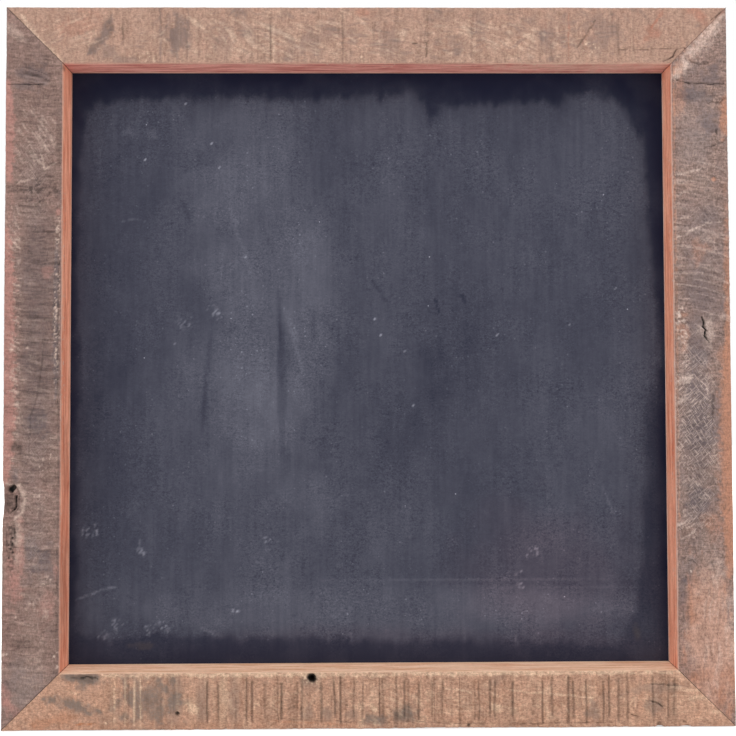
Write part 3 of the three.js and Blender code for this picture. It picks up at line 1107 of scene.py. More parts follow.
@dataclass
class Rail:
    """One mitred rail, with its relief, wear and finish.

    Attributes:
        side: Which rail it is.
        layout: Places of the frame's faces.
        timber: Its finish.
        saw: The saw's marks across it.
        marks: Its other marks, by along and across.
        lip_marks: Marks on the wall beside the panel, by along and depth.
        hollows: Places where its outer edge is worn away.
        lip_rim: Strength of the painted highlights, light lines along both edges of the wall beside the
            panel.
        outline_wave: How far its outer edge strays from straight.
        outer_ease: Rounding of the outer edges.
        lip_ease: Rounding of the front edge beside the panel.
        mitre_gap: Gap between two rails in a mitre.
        fine_step: Distance between vertices on the front and on the wall beside the panel.
        edge_step: The same on the outer edge.
        back_step: The same on the back and in the rabbet.
    """

    side: Side
    layout: Layout
    timber: Timber
    saw: SawMarks
    marks: tuple[Mark, ...]
    lip_marks: tuple[Mark, ...] = ()
    hollows: tuple[Hollow, ...] = ()
    lip_rim: float = 0.3
    outline_wave: float = 0.1
    outer_ease: float = 1.2
    lip_ease: float = 0.5
    mitre_gap: float = 0.3
    fine_step: float = 0.72
    edge_step: float = 1.3
    back_step: float = 3.0

    @property
    def seed(self) -> int:
        """Number that tells this rail's noise from the others'."""
        return 100 * (1 + list(Side).index(self.side))

    @property
    def face(self) -> float:
        """Width of the front face."""
        return self.layout.face[self.side]

    @property
    def thickness(self) -> float:
        """Front face to back face."""
        return self.layout.back - self.layout.front

    @property
    def lip(self) -> float:
        """Front face to the face of the rabbet."""
        return self.layout.lip_back - self.layout.front

    def profile(self) -> BMesh:
        """Draw the L-shaped section at the rail's first end, with even steps round it.

        Returns:
            Its outline, filled with one face.
        """
        wall = self.face - self.layout.rabbet
        corners = [(0, 0), (self.thickness, 0), (self.thickness, wall), (self.lip, wall),
                   (self.lip, self.face), (0, self.face)]
        bm = bmesh.new()
        verts = [bm.verts.new((0, depth, across)) for depth, across in corners]
        bm.faces.new(verts)
        for group, radius in ((verts[:2], self.outer_ease), (verts[5:], self.lip_ease)):
            bmesh.ops.bevel(bm, geom=group, offset=radius, offset_type="OFFSET", segments=4,
                            affect="VERTICES", profile=0.5, material=-1)
        for edge in list(bm.edges):
            middle = (edge.verts[0].co + edge.verts[1].co) / 2
            if middle.y < 0.01 or middle.z > self.face - 0.01:
                step = self.fine_step
            elif middle.z < 0.01:
                step = self.edge_step
            else:
                step = self.back_step
            cuts = round(edge.calc_length() / step) - 1
            if cuts > 0:
                bmesh.ops.subdivide_edges(bm, edges=[edge], cuts=cuts)
        return bm

    def blank(self) -> BMesh:
        """Extrude the section over the rail's full length, with even steps along it.

        Returns:
            The rail before it is worn and mitred.
        """
        bm = self.profile()
        length = self.layout.length(self.side)
        swept = bmesh.ops.extrude_face_region(bm, geom=bm.faces[:])["geom"]
        far = only(BMVert, swept)
        bmesh.ops.translate(bm, vec=(length, 0, 0), verts=far)
        long_edges = [edge for edge in bm.edges if edge.calc_length() > length / 2]
        bmesh.ops.subdivide_edges(bm, edges=long_edges, cuts=round(length / self.fine_step) - 1)
        bmesh.ops.recalc_face_normals(bm, faces=bm.faces)
        return bm

    def sawn_share(self, depth: Values, across: Values) -> Values:
        """How much of the old sawn surface each place has.

        Args:
            depth: Depth of each place behind the front face.
            across: Across of each place.

        Returns:
            Values from 0 to 1, with 1 on the front and on the outer edge.
        """
        near_front = ease(0.75, 0.25, depth)
        inside_front = ease(4.0, 3.0, depth) * ease(self.face - 0.35, self.face - 0.9, across)
        outer = ease(3.0, 2.0, across) * ease(self.thickness - 0.4, self.thickness - 1.2, depth)
        return np.maximum(np.maximum(near_front, inside_front), outer)

    def saw_lines(self, along: Values, across: Values) -> tuple[Values, Values]:
        """Dark lines and light ridges of the saw.

        Args:
            along: Along of each place.
            across: Across of each place.

        Returns:
            The share of a dark line and of a light ridge at each place.
        """
        saw = self.saw
        t = np.clip(across / self.face, 0, 1)
        place = along - saw.slope * t - saw.bow * 4 * t * (1 - t)
        place = place + 0.5 * noise(along / 9, across / 14, self.seed + 40)
        wave = noise(place / saw.pitch * 2, across / 17, self.seed + 41)
        band = noise(place / saw.pitch * 0.6, across / 50, self.seed + 42)
        inside = ease(saw.span[0] - 6, saw.span[0] + 6, along) * ease(saw.span[1] + 6, saw.span[1] - 6, along)
        dark = (ease(0.3, 0.8, -wave) + 0.6 * ease(0.1, 0.5, band)) * saw.dark * inside
        pale = ease(0.3, 0.85, wave) * saw.pale * inside
        for index, centre in enumerate(saw.strong):
            low, high, width, power = self.chances(index)
            low, high = 1 + 6 * low, self.face - 1 - 4 * high
            inside = ease(low, low + 3, across) * ease(high, high - 3, across)
            line = ease(1.0, 0.2, np.abs(place - centre) / (0.75 + 0.75 * width))
            dark = np.maximum(dark, inside * line * saw.strong_dark * (0.75 + 0.45 * power))
        return dark, pale

    def chances(self, index: int) -> Iterator[float]:
        """Four values from 0 to 1 that belong to one strong line."""
        return (float(0.5 + 0.5 * lattice(np.array(index), np.array(k), self.seed)) for k in range(4))

    def wear(self, along: Values, depth: Values, across: Values) -> tuple[dict[str, Values], Values]:
        """Add up the marks.

        Args:
            along: Along of each place.
            depth: Depth of each place behind the front face.
            across: Across of each place.

        Returns:
            Each layer's values by its name, and how far each place sinks.
        """
        sawn = self.sawn_share(depth, across)
        dark, pale = self.saw_lines(along, across)
        beside_panel = ease(self.face - 1.5, self.face - 0.8, across)
        on_lip = (1 - sawn) * beside_panel
        layers = {layer.value: np.zeros_like(along) for layer in Layer}
        layers["shade"] += dark * sawn
        layers["pale"] += pale * sawn
        sink = self.saw.depth * (dark - pale) / max(self.saw.dark, 0.1) * sawn
        for index, mark in enumerate(self.marks):
            # Marks that reach below the surface darken it too: painted shade down the nail hole's wall, dark
            # wood round the knot
            reach = ease(14.0, 10.0, depth) if mark.through else sawn
            share = mark.weight(along, across, self.seed + 50 + 5 * index) * reach
            layers[mark.layer.value] += mark.strength * share
            sink += mark.depth * share * sawn
        for index, mark in enumerate(self.lip_marks):
            share = mark.weight(along, depth, self.seed + 20 + 5 * index) * on_lip
            layers[mark.layer.value] += mark.strength * share
            sink += mark.depth * share
        # Painted highlights: pale lines along the front and back edges of the wall beside the panel
        ragged = 0.5 * rough(along / 6, depth / 3, self.seed + 8)
        rim = ease(2.6, 1.2, depth + ragged) + ease(self.lip - 1.9, self.lip - 0.7, depth + ragged)
        layers["pale"] += self.lip_rim * rim * on_lip
        layers["fresh"] = 1 - sawn
        layers["back"] = (1 - sawn) * (1 - beside_panel)
        return {name: np.clip(values, 0, 1) for name, values in layers.items()}, sink

    def shaped(self) -> BMesh:
        """Press the relief into the rail and cut its two mitres.

        Returns:
            The rail, in along, depth and across.
        """
        bm = self.blank()
        rest = np.array([vert.co for vert in bm.verts])
        normals = np.array([vert.normal for vert in bm.verts])
        along, depth, across = rest.T
        sawn = self.sawn_share(depth, across)
        _, sink = self.wear(along, depth, across)
        sink += sawn * 0.1 * rough(along / 4, across / 4 + depth / 4, self.seed + 1)
        sink += sawn * 0.16 * rough(along / 31, across / 16 + depth / 16, self.seed + 2)
        sink = np.maximum(sink + 0.22 * sawn, 0)
        moved = rest - normals * sink[:, None]
        edge = ease(self.outer_ease + 1.0, 0.0, across)
        worn = self.outline_wave * (1 + rough(along / 60, depth / 40, self.seed + 3)) / 2
        for hollow in self.hollows:
            worn = worn + hollow.sink(along, depth)
        moved[:, 2] += edge * worn
        for vert, place in zip(bm.verts, moved):
            vert.co = place
        self.mitre(bm)
        return bm

    def mitre(self, bm: BMesh) -> None:
        """Cut both ends on the plane through the frame's outer and inner corners.

        Args:
            bm: The rail.
        """
        length = self.layout.length(self.side)
        start, end = (self.layout.face[side] for side in self.side.ends)
        for corner, run, sign in ((0.0, start, -1), (length, end, 1)):
            normal = Vector((sign * self.face, 0, run)).normalized()
            place = Vector((corner, 0, 0)) - normal * self.mitre_gap / 2
            bmesh.ops.bisect_plane(bm, geom=bm.verts[:] + bm.edges[:] + bm.faces[:], dist=1e-4,
                                   plane_co=place, plane_no=normal, clear_outer=True)
            bmesh.ops.holes_fill(bm, edges=[edge for edge in bm.edges if edge.is_boundary], sides=0)
        bmesh.ops.triangulate(bm, faces=[face for face in bm.faces if len(face.verts) > 4])

    def cutters(self) -> Iterator[Piece]:
        """Make the cutters of the pockets, slots and holes in the rail.

        Yields:
            One cutter at a time.
        """
        for corner in Corner:
            if self.side in corner.value:
                yield from nail_pockets(corner)
        for point in self.side.framers_points:
            yield pocket(point)
        if not self.side.level:
            yield pocket(f"hanger_screw_{self.side.word}")

    def build(self, extra_cutters: Iterable[Piece] = ()) -> None:
        """Make the piece, cut its pockets and keep its wear for the material.

        Args:
            extra_cutters: Further closed meshes that are cut out of it.
        """
        bm = self.shaped()
        matrix = self.layout.matrix(self.side)
        bmesh.ops.transform(bm, matrix=matrix, verts=bm.verts)
        bmesh.ops.recalc_face_normals(bm, faces=bm.faces)
        piece = finished(f"{self.side.value}_sawn", bm, smooth=None)
        combine(piece, [*self.cutters(), *extra_cutters], Change.CUT)
        shade(piece, 50)
        layers, _ = self.wear(*local_places(piece.data, matrix))
        for name, values in layers.items():
            store(piece.data, name, values)
        piece.data.materials.append(self.timber.material(self.side.value, not self.side.level))
        place_piece(piece, "frame", self.side.value)


@dataclass
class NailHole:
    """Ragged hole that an old nail left in the bottom rail.

    Attributes:
        at: Its middle, by along and across.
        width: Its width at the face.
        end_width: Its width at the bottom.
        depth: Its depth.
        past: How far the cutter runs out of the face.
        ragged: How far its wall strays, as a share of its radius.
    """

    at: Place = (203.6, 33.2)
    width: float = 4.6
    end_width: float = 3.2
    depth: float = 8.0
    past: float = 1.2
    ragged: float = 0.22

    def cutter(self, layout: Layout) -> Piece:
        """Make the cutter.

        Args:
            layout: Places of the frame's faces.

        Returns:
            The cutter.
        """
        bm = bmesh.new()
        run = self.depth + self.past
        bmesh.ops.create_cone(bm, cap_ends=True, segments=28, radius1=self.end_width / 2,
                              radius2=self.width / 2, depth=run)
        sides = [edge for edge in bm.edges if abs(edge.verts[0].co.z - edge.verts[1].co.z) > run / 2]
        bmesh.ops.subdivide_edges(bm, edges=sides, cuts=9)
        for vert in bm.verts:
            angle = math.atan2(vert.co.y, vert.co.x)
            across, down = math.cos(angle) * 2 + 9, math.sin(angle) * 2 + vert.co.z / 3
            stray = rough(np.array([across]), np.array([down]), 5)
            vert.co.xy *= 1 + self.ragged * float(stray[0])
        turn = Matrix.Rotation(math.radians(90), 4, "X")
        place = Matrix.Translation((self.at[0], (self.depth - self.past) / 2, self.at[1]))
        bmesh.ops.transform(bm, matrix=layout.matrix(Side.BOTTOM) @ place @ turn, verts=bm.verts)
        bmesh.ops.recalc_face_normals(bm, faces=bm.faces)
        return finished("cutter_nail_hole", bm, smooth=None)


@dataclass
class GlueLine:
    """Thin seam of old glue that fills one mitre.

    Attributes:
        corner: Which mitre it fills.
        layout: Places of the frame's faces.
        glue: Its finish.
        sunk: How far it lies below the faces round it.
        thickness: Its thickness, a little less than the mitre's gap.
    """

    corner: Corner
    layout: Layout
    glue: DriedGlue
    sunk: float = 0.5
    thickness: float = 0.28

    def build(self) -> None:
        """Make the piece as an L-shaped plate in the plane of the mitre."""
        rail, stile = self.corner.value
        face, run = self.layout.face[rail], self.layout.face[stile]
        thick = self.layout.back - self.layout.front
        lip, wall = self.layout.lip_back - self.layout.front, face - self.layout.rabbet
        low, high, back = self.sunk, face - self.sunk, thick - self.sunk
        shelf, step = lip - self.sunk, wall - self.sunk
        corners = [(low, low), (back, low), (back, step), (shelf, step), (shelf, high), (low, high)]
        start = stile is Side.LEFT
        length = self.layout.length(rail)
        bm = bmesh.new()
        places = [(across * run / face, depth, across) for depth, across in corners]
        if not start:
            places = [(length - along, depth, across) for along, depth, across in places]
        front = bm.faces.new([bm.verts.new(place) for place in places])
        normal = Vector((face if start else -face, 0, -run)).normalized()
        bmesh.ops.translate(bm, vec=-normal * self.thickness / 2, verts=bm.verts)
        swept = bmesh.ops.extrude_face_region(bm, geom=[front])["geom"]
        far = only(BMVert, swept)
        bmesh.ops.translate(bm, vec=normal * self.thickness, verts=far)
        bmesh.ops.transform(bm, matrix=self.layout.matrix(rail), verts=bm.verts)
        bmesh.ops.recalc_face_normals(bm, faces=bm.faces)
        piece = finished(f"glue_line_{self.corner.word}", bm, smooth=None)
        combine(piece, nail_pockets(self.corner), Change.CUT)
        piece.data.materials.append(self.glue.material(piece.name))
        place_piece(piece, "frame")


# Panel


@dataclass
class Panel:
    """Hardboard panel with a painted, chalky face.

    Attributes:
        layout: Places of the frame's faces.
        marks: Traces of chalk, wiping and water on its face.
        wiped: Outline of the area that chalk has been rubbed over.
        haze: Dust inside that outline.
        spacing: Distance between the vertices of its face.
        chamfer: Width of the chamfer round its back.
        paint: Finish of its face.
        board: Finish of its edges and back.
    """

    layout: Layout
    marks: tuple[Mark, ...]
    wiped: tuple[Place, ...]
    haze: float = 0.084
    spacing: float = 1.38
    chamfer: float = 0.4
    paint: ChalkPaint = ChalkPaint()
    board: Hardboard = Hardboard()

    def inside(self, x: Values, y: Values, soft: float) -> Values:
        """Share of the wiped area at each place, with a ragged edge.

        Args:
            x: Right of each place.
            y: Down of each place.
            soft: Half of the width over which it fades.

        Returns:
            Values from 0 to 1.
        """
        path = self.wiped + self.wiped[:1]
        x, y = x + 3 * rough(x / 6, y / 9, 31), y + 4 * rough(x / 4, y / 10, 37, 4)
        gap, _ = nearest(x, y, path)
        crossed = np.zeros(x.shape, bool)
        for (px, py), (qx, qy) in zip(path, path[1:]):
            between = (py > y) != (qy > y)
            with np.errstate(divide="ignore", invalid="ignore"):
                crossed ^= between & (x < px + (qx - px) * (y - py) / (qy - py))
        return ease(-soft, soft, np.where(crossed, gap, -gap))

    def traces(self, x: Values, y: Values) -> dict[str, Values]:
        """Add up the traces at each place.

        Args:
            x: Right of each place.
            y: Down of each place.

        Returns:
            Each trace's values by its name.
        """
        layers = {trace.value: np.zeros_like(x) for trace in Trace}
        layers["dust"] += self.haze * (
            1 + 0.1 * rough(x / 14, y / 120, 11) + 0.3 * rough(x / 55, y / 80, 12)
            + 0.16 * rough(x / 9, y / 16, 13) + 0.1 * rough(x / 3, y / 3, 14))
        for index, mark in enumerate(self.marks):
            layers[mark.layer.value] += mark.strength * mark.weight(x, y, 60 + 5 * index)
        wiped = 0.6 * self.inside(x, y, 3.5) + 0.4 * self.inside(x, y, 14.0)
        outside = 0.02 * ease(330, 400, y) + 0.012 * ease(-0.4, 0.6, rough(x / 14, y / 14, 17))
        # Dust in a band that fades out towards the right wall, so the panel darkens beside it: painted shade
        outside = outside + 0.028 * ease(372, 392, x) * ease(407, 397, x) * ease(110, 230, y)
        layers["dust"] = layers["dust"] * wiped + outside * (1 - wiped)
        return {name: np.clip(values, 0, 1) for name, values in layers.items()}

    def blank(self, lo: Vector, hi: Vector) -> BMesh:
        """Make the board: a fine grid for its face, its edges, and the chamfer round its back.

        Args:
            lo: Lowest corner of its box.
            hi: Highest corner of its box.

        Returns:
            The board, in millimetres. Its face has the first material.
        """
        size, centre = hi - lo, (lo + hi) / 2
        bm = bmesh.new()
        columns, rows = (round(size[axis] / self.spacing) for axis in (0, 2))
        bmesh.ops.create_grid(bm, x_segments=columns, y_segments=rows, size=0.5)
        stand = Matrix.Rotation(math.radians(90), 4, "X")
        scale = Matrix.Diagonal((size.x, size.z, 1, 1))
        place = Matrix.Translation((centre.x, lo.y, centre.z))
        bmesh.ops.transform(bm, matrix=place @ stand @ scale, verts=bm.verts)
        rim = [edge for edge in bm.edges if edge.is_boundary]
        for depth, inset in ((size.y - self.chamfer, 0.0), (self.chamfer, self.chamfer)):
            swept = bmesh.ops.extrude_edge_only(bm, edges=rim)["geom"]
            rim = only(BMEdge, swept)
            far = only(BMVert, swept)
            bmesh.ops.translate(bm, vec=(0, depth, 0), verts=far)
            shrink = Vector((1 - 2 * inset / size.x, 1, 1 - 2 * inset / size.z))
            bmesh.ops.scale(bm, vec=shrink, space=Matrix.Translation(-centre), verts=far)
        bmesh.ops.holes_fill(bm, edges=rim, sides=0)
        bmesh.ops.triangulate(bm, faces=[face for face in bm.faces if len(face.verts) > 4])
        bmesh.ops.recalc_face_normals(bm, faces=bm.faces)
        for face in bm.faces:
            face.material_index = 0 if face.calc_center_median().y < lo.y + 1e-3 else 1
        return bm

    def build(self) -> None:
        """Make the piece."""
        lo, hi = (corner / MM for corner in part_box("writing_panel"))
        bm = self.blank(lo, hi)
        bmesh.ops.scale(bm, vec=(MM, MM, MM), verts=bm.verts)
        piece = finished("chalk_panel", bm, smooth=30)
        left = self.layout.left + self.layout.face[Side.LEFT]
        top = self.layout.top - self.layout.face[Side.TOP]
        x, _, z = local_places(piece.data, Matrix.Scale(MM, 4))
        for name, values in self.traces(x - left, top - z).items():
            store(piece.data, name, values)
        piece.data.materials.append(self.paint.material())
        piece.data.materials.append(self.board.material())
        place_piece(piece, "frame", "writing_panel")


# Fixings


@dataclass
class Hanger:
    """Folded strap, ring of bent wire and pan-head screw on the back of one stile.

    Attributes:
        side: The stile that it is screwed to.
        metal: Its material.
        wire: Diameter of the ring's wire.
        ring_corner: Bend radius beside the ring's straight side, at the wire's centre.
        butt: Open joint in the straight side.
        head_height: Height of the screw's head.
        rim: Straight side of the head, below its dome.
        shank: Diameter over the thread.
        core: Diameter under the thread.
        pitch: Pitch of the thread.
        tip: Length of the point.
        neck: Length under the head that has no thread.
        foot: Half of the thread's width at the core.
    """

    side: Side
    metal: Material
    wire: float = 2.4
    ring_corner: float = 2.0
    butt: float = 0.6
    head_height: float = 2.3
    rim: float = 0.9
    shank: float = 3.4
    core: float = 2.4
    pitch: float = 1.6
    tip: float = 3.5
    neck: float = 2.0
    foot: float = 0.36

    def build(self) -> None:
        """Make the three pieces."""
        strap = f"hanger_strap_{self.side.word}"
        self.finish(strap, eased(strap, 0.14), "frame")
        self.finish(f"hanger_ring_{self.side.word}", self.ring(), f"ring_{self.side.word}")
        self.screw()

    def finish(self, node: str, bm: BMesh, body: str) -> None:
        """Turn a mesh into the piece that stands for a node.

        Args:
            node: The node.
            bm: The mesh, in metres.
            body: The body it rides on.
        """
        piece = finished(f"{node}_plated", bm, smooth=35)
        piece.data.materials.append(self.metal)
        place_piece(piece, body, node)

    def ring(self) -> BMesh:
        """Bend the wire: straight side, two corners, two legs and the bow.

        Returns:
            The ring, in metres.
        """
        node = f"hanger_ring_{self.side.word}"
        joint = next(joint for joint in frame["joints"] if joint["child"] == f"ring_{self.side.word}")
        pivot = Vector(joint["pos_m"]) / MM
        lo, hi = (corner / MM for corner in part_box(node))
        radius = self.wire / 2
        half = (hi.x - lo.x) / 2 - radius
        far = Vector((0, hi.y - radius - pivot.y, lo.z + radius - pivot.z))
        corner, bow = half - self.ring_corner, half - far.length
        bm = bmesh.new()
        bmesh.ops.create_circle(bm, segments=20, radius=radius, cap_ends=False)
        bmesh.ops.rotate(bm, cent=(0, 0, 0), matrix=Matrix.Rotation(math.radians(90), 3, "Y"), verts=bm.verts)
        bmesh.ops.translate(bm, vec=(self.butt / 2, 0, 0), verts=bm.verts)
        loop = bm.edges[:]
        loop = self.straight(bm, loop, (corner - self.butt / 2, 0, 0))
        loop = self.bend(bm, loop, (corner, 0, -self.ring_corner), 90, 8)
        loop = self.straight(bm, loop, (0, 0, bow + self.ring_corner))
        loop = self.bend(bm, loop, (0, 0, bow), 180, 28)
        loop = self.straight(bm, loop, (0, 0, -bow - self.ring_corner))
        loop = self.bend(bm, loop, (-corner, 0, -self.ring_corner), 90, 8)
        self.straight(bm, loop, (corner - self.butt / 2, 0, 0))
        rims = [edge for edge in bm.edges if edge.is_boundary]
        bmesh.ops.holes_fill(bm, edges=rims, sides=0)
        bmesh.ops.recalc_face_normals(bm, faces=bm.faces)
        bmesh.ops.bevel(bm, geom=rims, offset=0.25, offset_type="OFFSET", segments=2,
                        affect="EDGES", profile=0.5, material=-1)
        lean = math.atan2(far.y, -far.z)
        turn = Matrix.Rotation(lean, 4, "X")
        place = Matrix.Scale(MM, 4) @ Matrix.Translation(pivot) @ turn
        bmesh.ops.transform(bm, matrix=place, verts=bm.verts)
        return bm

    @staticmethod
    def straight(bm: BMesh, loop: list[BMEdge], move: tuple[float, float, float]) -> list[BMEdge]:
        """Draw the wire's end straight on.

        Args:
            bm: The wire.
            loop: Edges round its end.
            move: How far it is drawn.

        Returns:
            Edges round its new end.
        """
        swept = bmesh.ops.extrude_edge_only(bm, edges=loop)["geom"]
        far = only(BMVert, swept)
        bmesh.ops.translate(bm, vec=move, verts=far)
        return only(BMEdge, swept)

    @staticmethod
    def bend(bm: BMesh, loop: list[BMEdge], centre: tuple[float, float, float],
             degrees: float, steps: int) -> list[BMEdge]:
        """Bend the wire's end round a centre, clockwise as seen from the front.

        Args:
            bm: The wire.
            loop: Edges round its end.
            centre: Centre of the bend.
            degrees: How far it is bent.
            steps: How many steps the bend has.

        Returns:
            Edges round its new end.
        """
        last = bmesh.ops.spin(bm, geom=loop, cent=centre, axis=(0, 1, 0), angle=math.radians(degrees),
                              steps=steps, use_merge=False)["geom_last"]
        return only(BMEdge, last)

    def screw(self) -> None:
        """Turn the screw, wind its thread and press its cross recess."""
        node = f"hanger_screw_{self.side.word}"
        lo, hi = (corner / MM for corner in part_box(node))
        head, length = (hi.x - lo.x) / 2, hi.y - lo.y - self.head_height
        seat = ((lo.x + hi.x) / 2, hi.y - self.head_height, (lo.z + hi.z) / 2)
        place = Matrix.Scale(MM, 4) @ Matrix.Translation(seat)
        dome = [(head * math.cos(a), self.rim + (self.head_height - self.rim) * math.sin(a))
                for a in (math.radians(d) for d in range(0, 90, 10))]
        core, shank = self.core / 2, self.shank / 2
        outline = [(0, -length), (core, self.tip - length), (core, -self.neck - 0.6), (shank, -self.neck),
                   (shank, 0), (head - 0.2, 0), (head, 0.2), *dome, (0, self.head_height)]
        body = self.turned(outline)
        bmesh.ops.transform(body, matrix=place, verts=body.verts)
        piece = finished(f"{node}_plated", body, smooth=None)
        thread = self.thread(length)
        bmesh.ops.transform(thread, matrix=place, verts=thread.verts)
        combine(piece, [finished("thread", thread, smooth=None)], Change.JOIN)
        combine(piece, [self.recess(place, turn) for turn in (20, 110)], Change.CUT)
        shade(piece, 35)
        piece.data.materials.append(self.metal)
        place_piece(piece, "frame", node)

    @staticmethod
    def turned(outline: list[Place], steps: int = 36) -> BMesh:
        """Turn an outline round the Y axis into a closed solid.

        Args:
            outline: Its corners, as radius and height.
            steps: How many steps the turn has.

        Returns:
            The solid.
        """
        bm = bmesh.new()
        verts = [bm.verts.new((radius, height, 0)) for radius, height in outline]
        edges = [bm.edges.new(pair) for pair in zip(verts, verts[1:])]
        bmesh.ops.spin(bm, geom=verts + edges, cent=(0, 0, 0), axis=(0, 1, 0), angle=math.tau,
                       steps=steps, use_merge=True)
        bmesh.ops.remove_doubles(bm, verts=bm.verts, dist=1e-4)
        bmesh.ops.recalc_face_normals(bm, faces=bm.faces)
        return bm

    def thread(self, length: float, steps: int = 24) -> BMesh:
        """Wind a ridge round the core, from the point to behind the head.

        Args:
            length: Length of the screw under its head.
            steps: How many steps one turn has.

        Returns:
            The ridge.
        """
        inner, outer = self.core / 2 - 0.3, self.shank / 2
        bm = bmesh.new()
        ridge = [(inner, -self.foot), (outer, -0.05), (outer, 0.05), (inner, self.foot)]
        start = self.tip - length
        verts = [bm.verts.new((radius, start + rise, 0)) for radius, rise in ridge]
        bm.faces.new(verts)
        turns = (length - self.tip - self.neck - 1.0) / self.pitch
        count = round(turns * steps)
        bmesh.ops.spin(bm, geom=bm.faces[:] + bm.edges[:] + bm.verts[:], cent=(0, 0, 0), axis=(0, 1, 0),
                       dvec=(0, self.pitch / steps, 0), angle=math.tau * count / steps, steps=count,
                       use_merge=False)
        bmesh.ops.recalc_face_normals(bm, faces=bm.faces)
        return bm

    def recess(self, place: Matrix, turn: float) -> Piece:
        """Make the cutter of one bar of the cross recess.

        Args:
            place: Matrix of the screw.
            turn: Degrees round the screw's axis.

        Returns:
            The cutter.
        """
        bm = bmesh.new()
        bmesh.ops.create_cone(bm, cap_ends=True, segments=4, radius1=0.75, radius2=1.0, depth=2.2)
        bmesh.ops.rotate(bm, cent=(0, 0, 0), matrix=Matrix.Rotation(math.radians(45), 3, "Z"), verts=bm.verts)
        bmesh.ops.scale(bm, vec=(2.6, 0.62, 1), verts=bm.verts)
        stand = Matrix.Rotation(math.radians(-90), 4, "X") @ Matrix.Rotation(math.radians(turn), 4, "Z")
        place = place @ Matrix.Translation((0, self.head_height, 0))
        bmesh.ops.transform(bm, matrix=place @ stand, verts=bm.verts)
        bmesh.ops.recalc_face_normals(bm, faces=bm.faces)
        return finished("cutter_recess", bm, smooth=None)


def build_nails_and_points(metal: Material) -> None:
    """Ease the edges of the wedge nails and the framer's points and plate them.

    Args:
        metal: Their material.
    """
    nails = [nail for corner in Corner for nail in corner.wedge_nails]
    points = [point for side in Side for point in side.framers_points]
    for node in nails + points:
        piece = finished(f"{node}_plated", eased(node, 0.1), smooth=35)
        piece.data.materials.append(metal)
        place_piece(piece, "frame", node)


# Studio


@dataclass(frozen=True)
class Camera:
    """Camera that looks at the board from the front, close to its middle.

    Attributes:
        place: Right of, in front of and above the middle of the front face.
        turn: Degrees that it looks up, rolls and turns to the left.
        lens: Focal length for a sensor 36 mm wide.
    """

    place: tuple[float, float, float] = (-3.64, -461.9, -12.68)
    turn: tuple[float, float, float] = (1.24, 0.17, -0.40)
    lens: float = 34.155

    def build(self, layout: Layout) -> None:
        """Make the camera and use it.

        Args:
            layout: Places of the frame's faces.
        """
        data = bpy.data.cameras.new("camera")
        data.lens, data.sensor_width = self.lens, 36.0
        camera = bpy.data.objects.new("camera", data)
        turn = Euler([math.radians(angle) for angle in self.turn], "XYZ").to_matrix()
        level = Matrix.Rotation(math.radians(90), 3, "X")
        place = Matrix.Translation(layout.middle + Vector(self.place) * MM)
        camera.matrix_world = place @ (turn @ level).to_4x4()
        bpy.context.scene.collection.objects.link(camera)
        bpy.context.scene.camera = camera


@dataclass(frozen=True)
class Softbox:
    """Square soft light that shines on the middle of the frame.

    Attributes:
        name: Its name.
        azimuth: Degrees round the board from straight in front, towards its right.
        elevation: Degrees above the level of the frame's middle.
        share: Its part of the light on a surface that faces it, where 1 shows a colour as written.
        distance: How far away it stands, in metres.
        size: Its side, in metres.
    """

    name: str
    azimuth: float
    elevation: float
    share: float
    distance: float = 1.6
    size: float = 1.1

    def build(self, middle: Vector) -> None:
        """Make the light.

        Args:
            middle: Place that it is aimed at, in metres.
        """
        data = bpy.data.lights.new(self.name, "AREA")
        data.shape, data.size = "SQUARE", self.size
        data.energy = self.share * math.pi * math.pi * self.distance**2
        a, e = math.radians(self.azimuth), math.radians(self.elevation)
        towards = Vector((math.sin(a) * math.cos(e), -math.cos(a) * math.cos(e), math.sin(e)))
        turn = towards.to_track_quat("Z", "Y").to_matrix().to_4x4()
        light = bpy.data.objects.new(self.name, data)
        light.matrix_world = Matrix.Translation(middle + towards * self.distance) @ turn
        light.visible_camera = False
        bpy.context.scene.collection.objects.link(light)


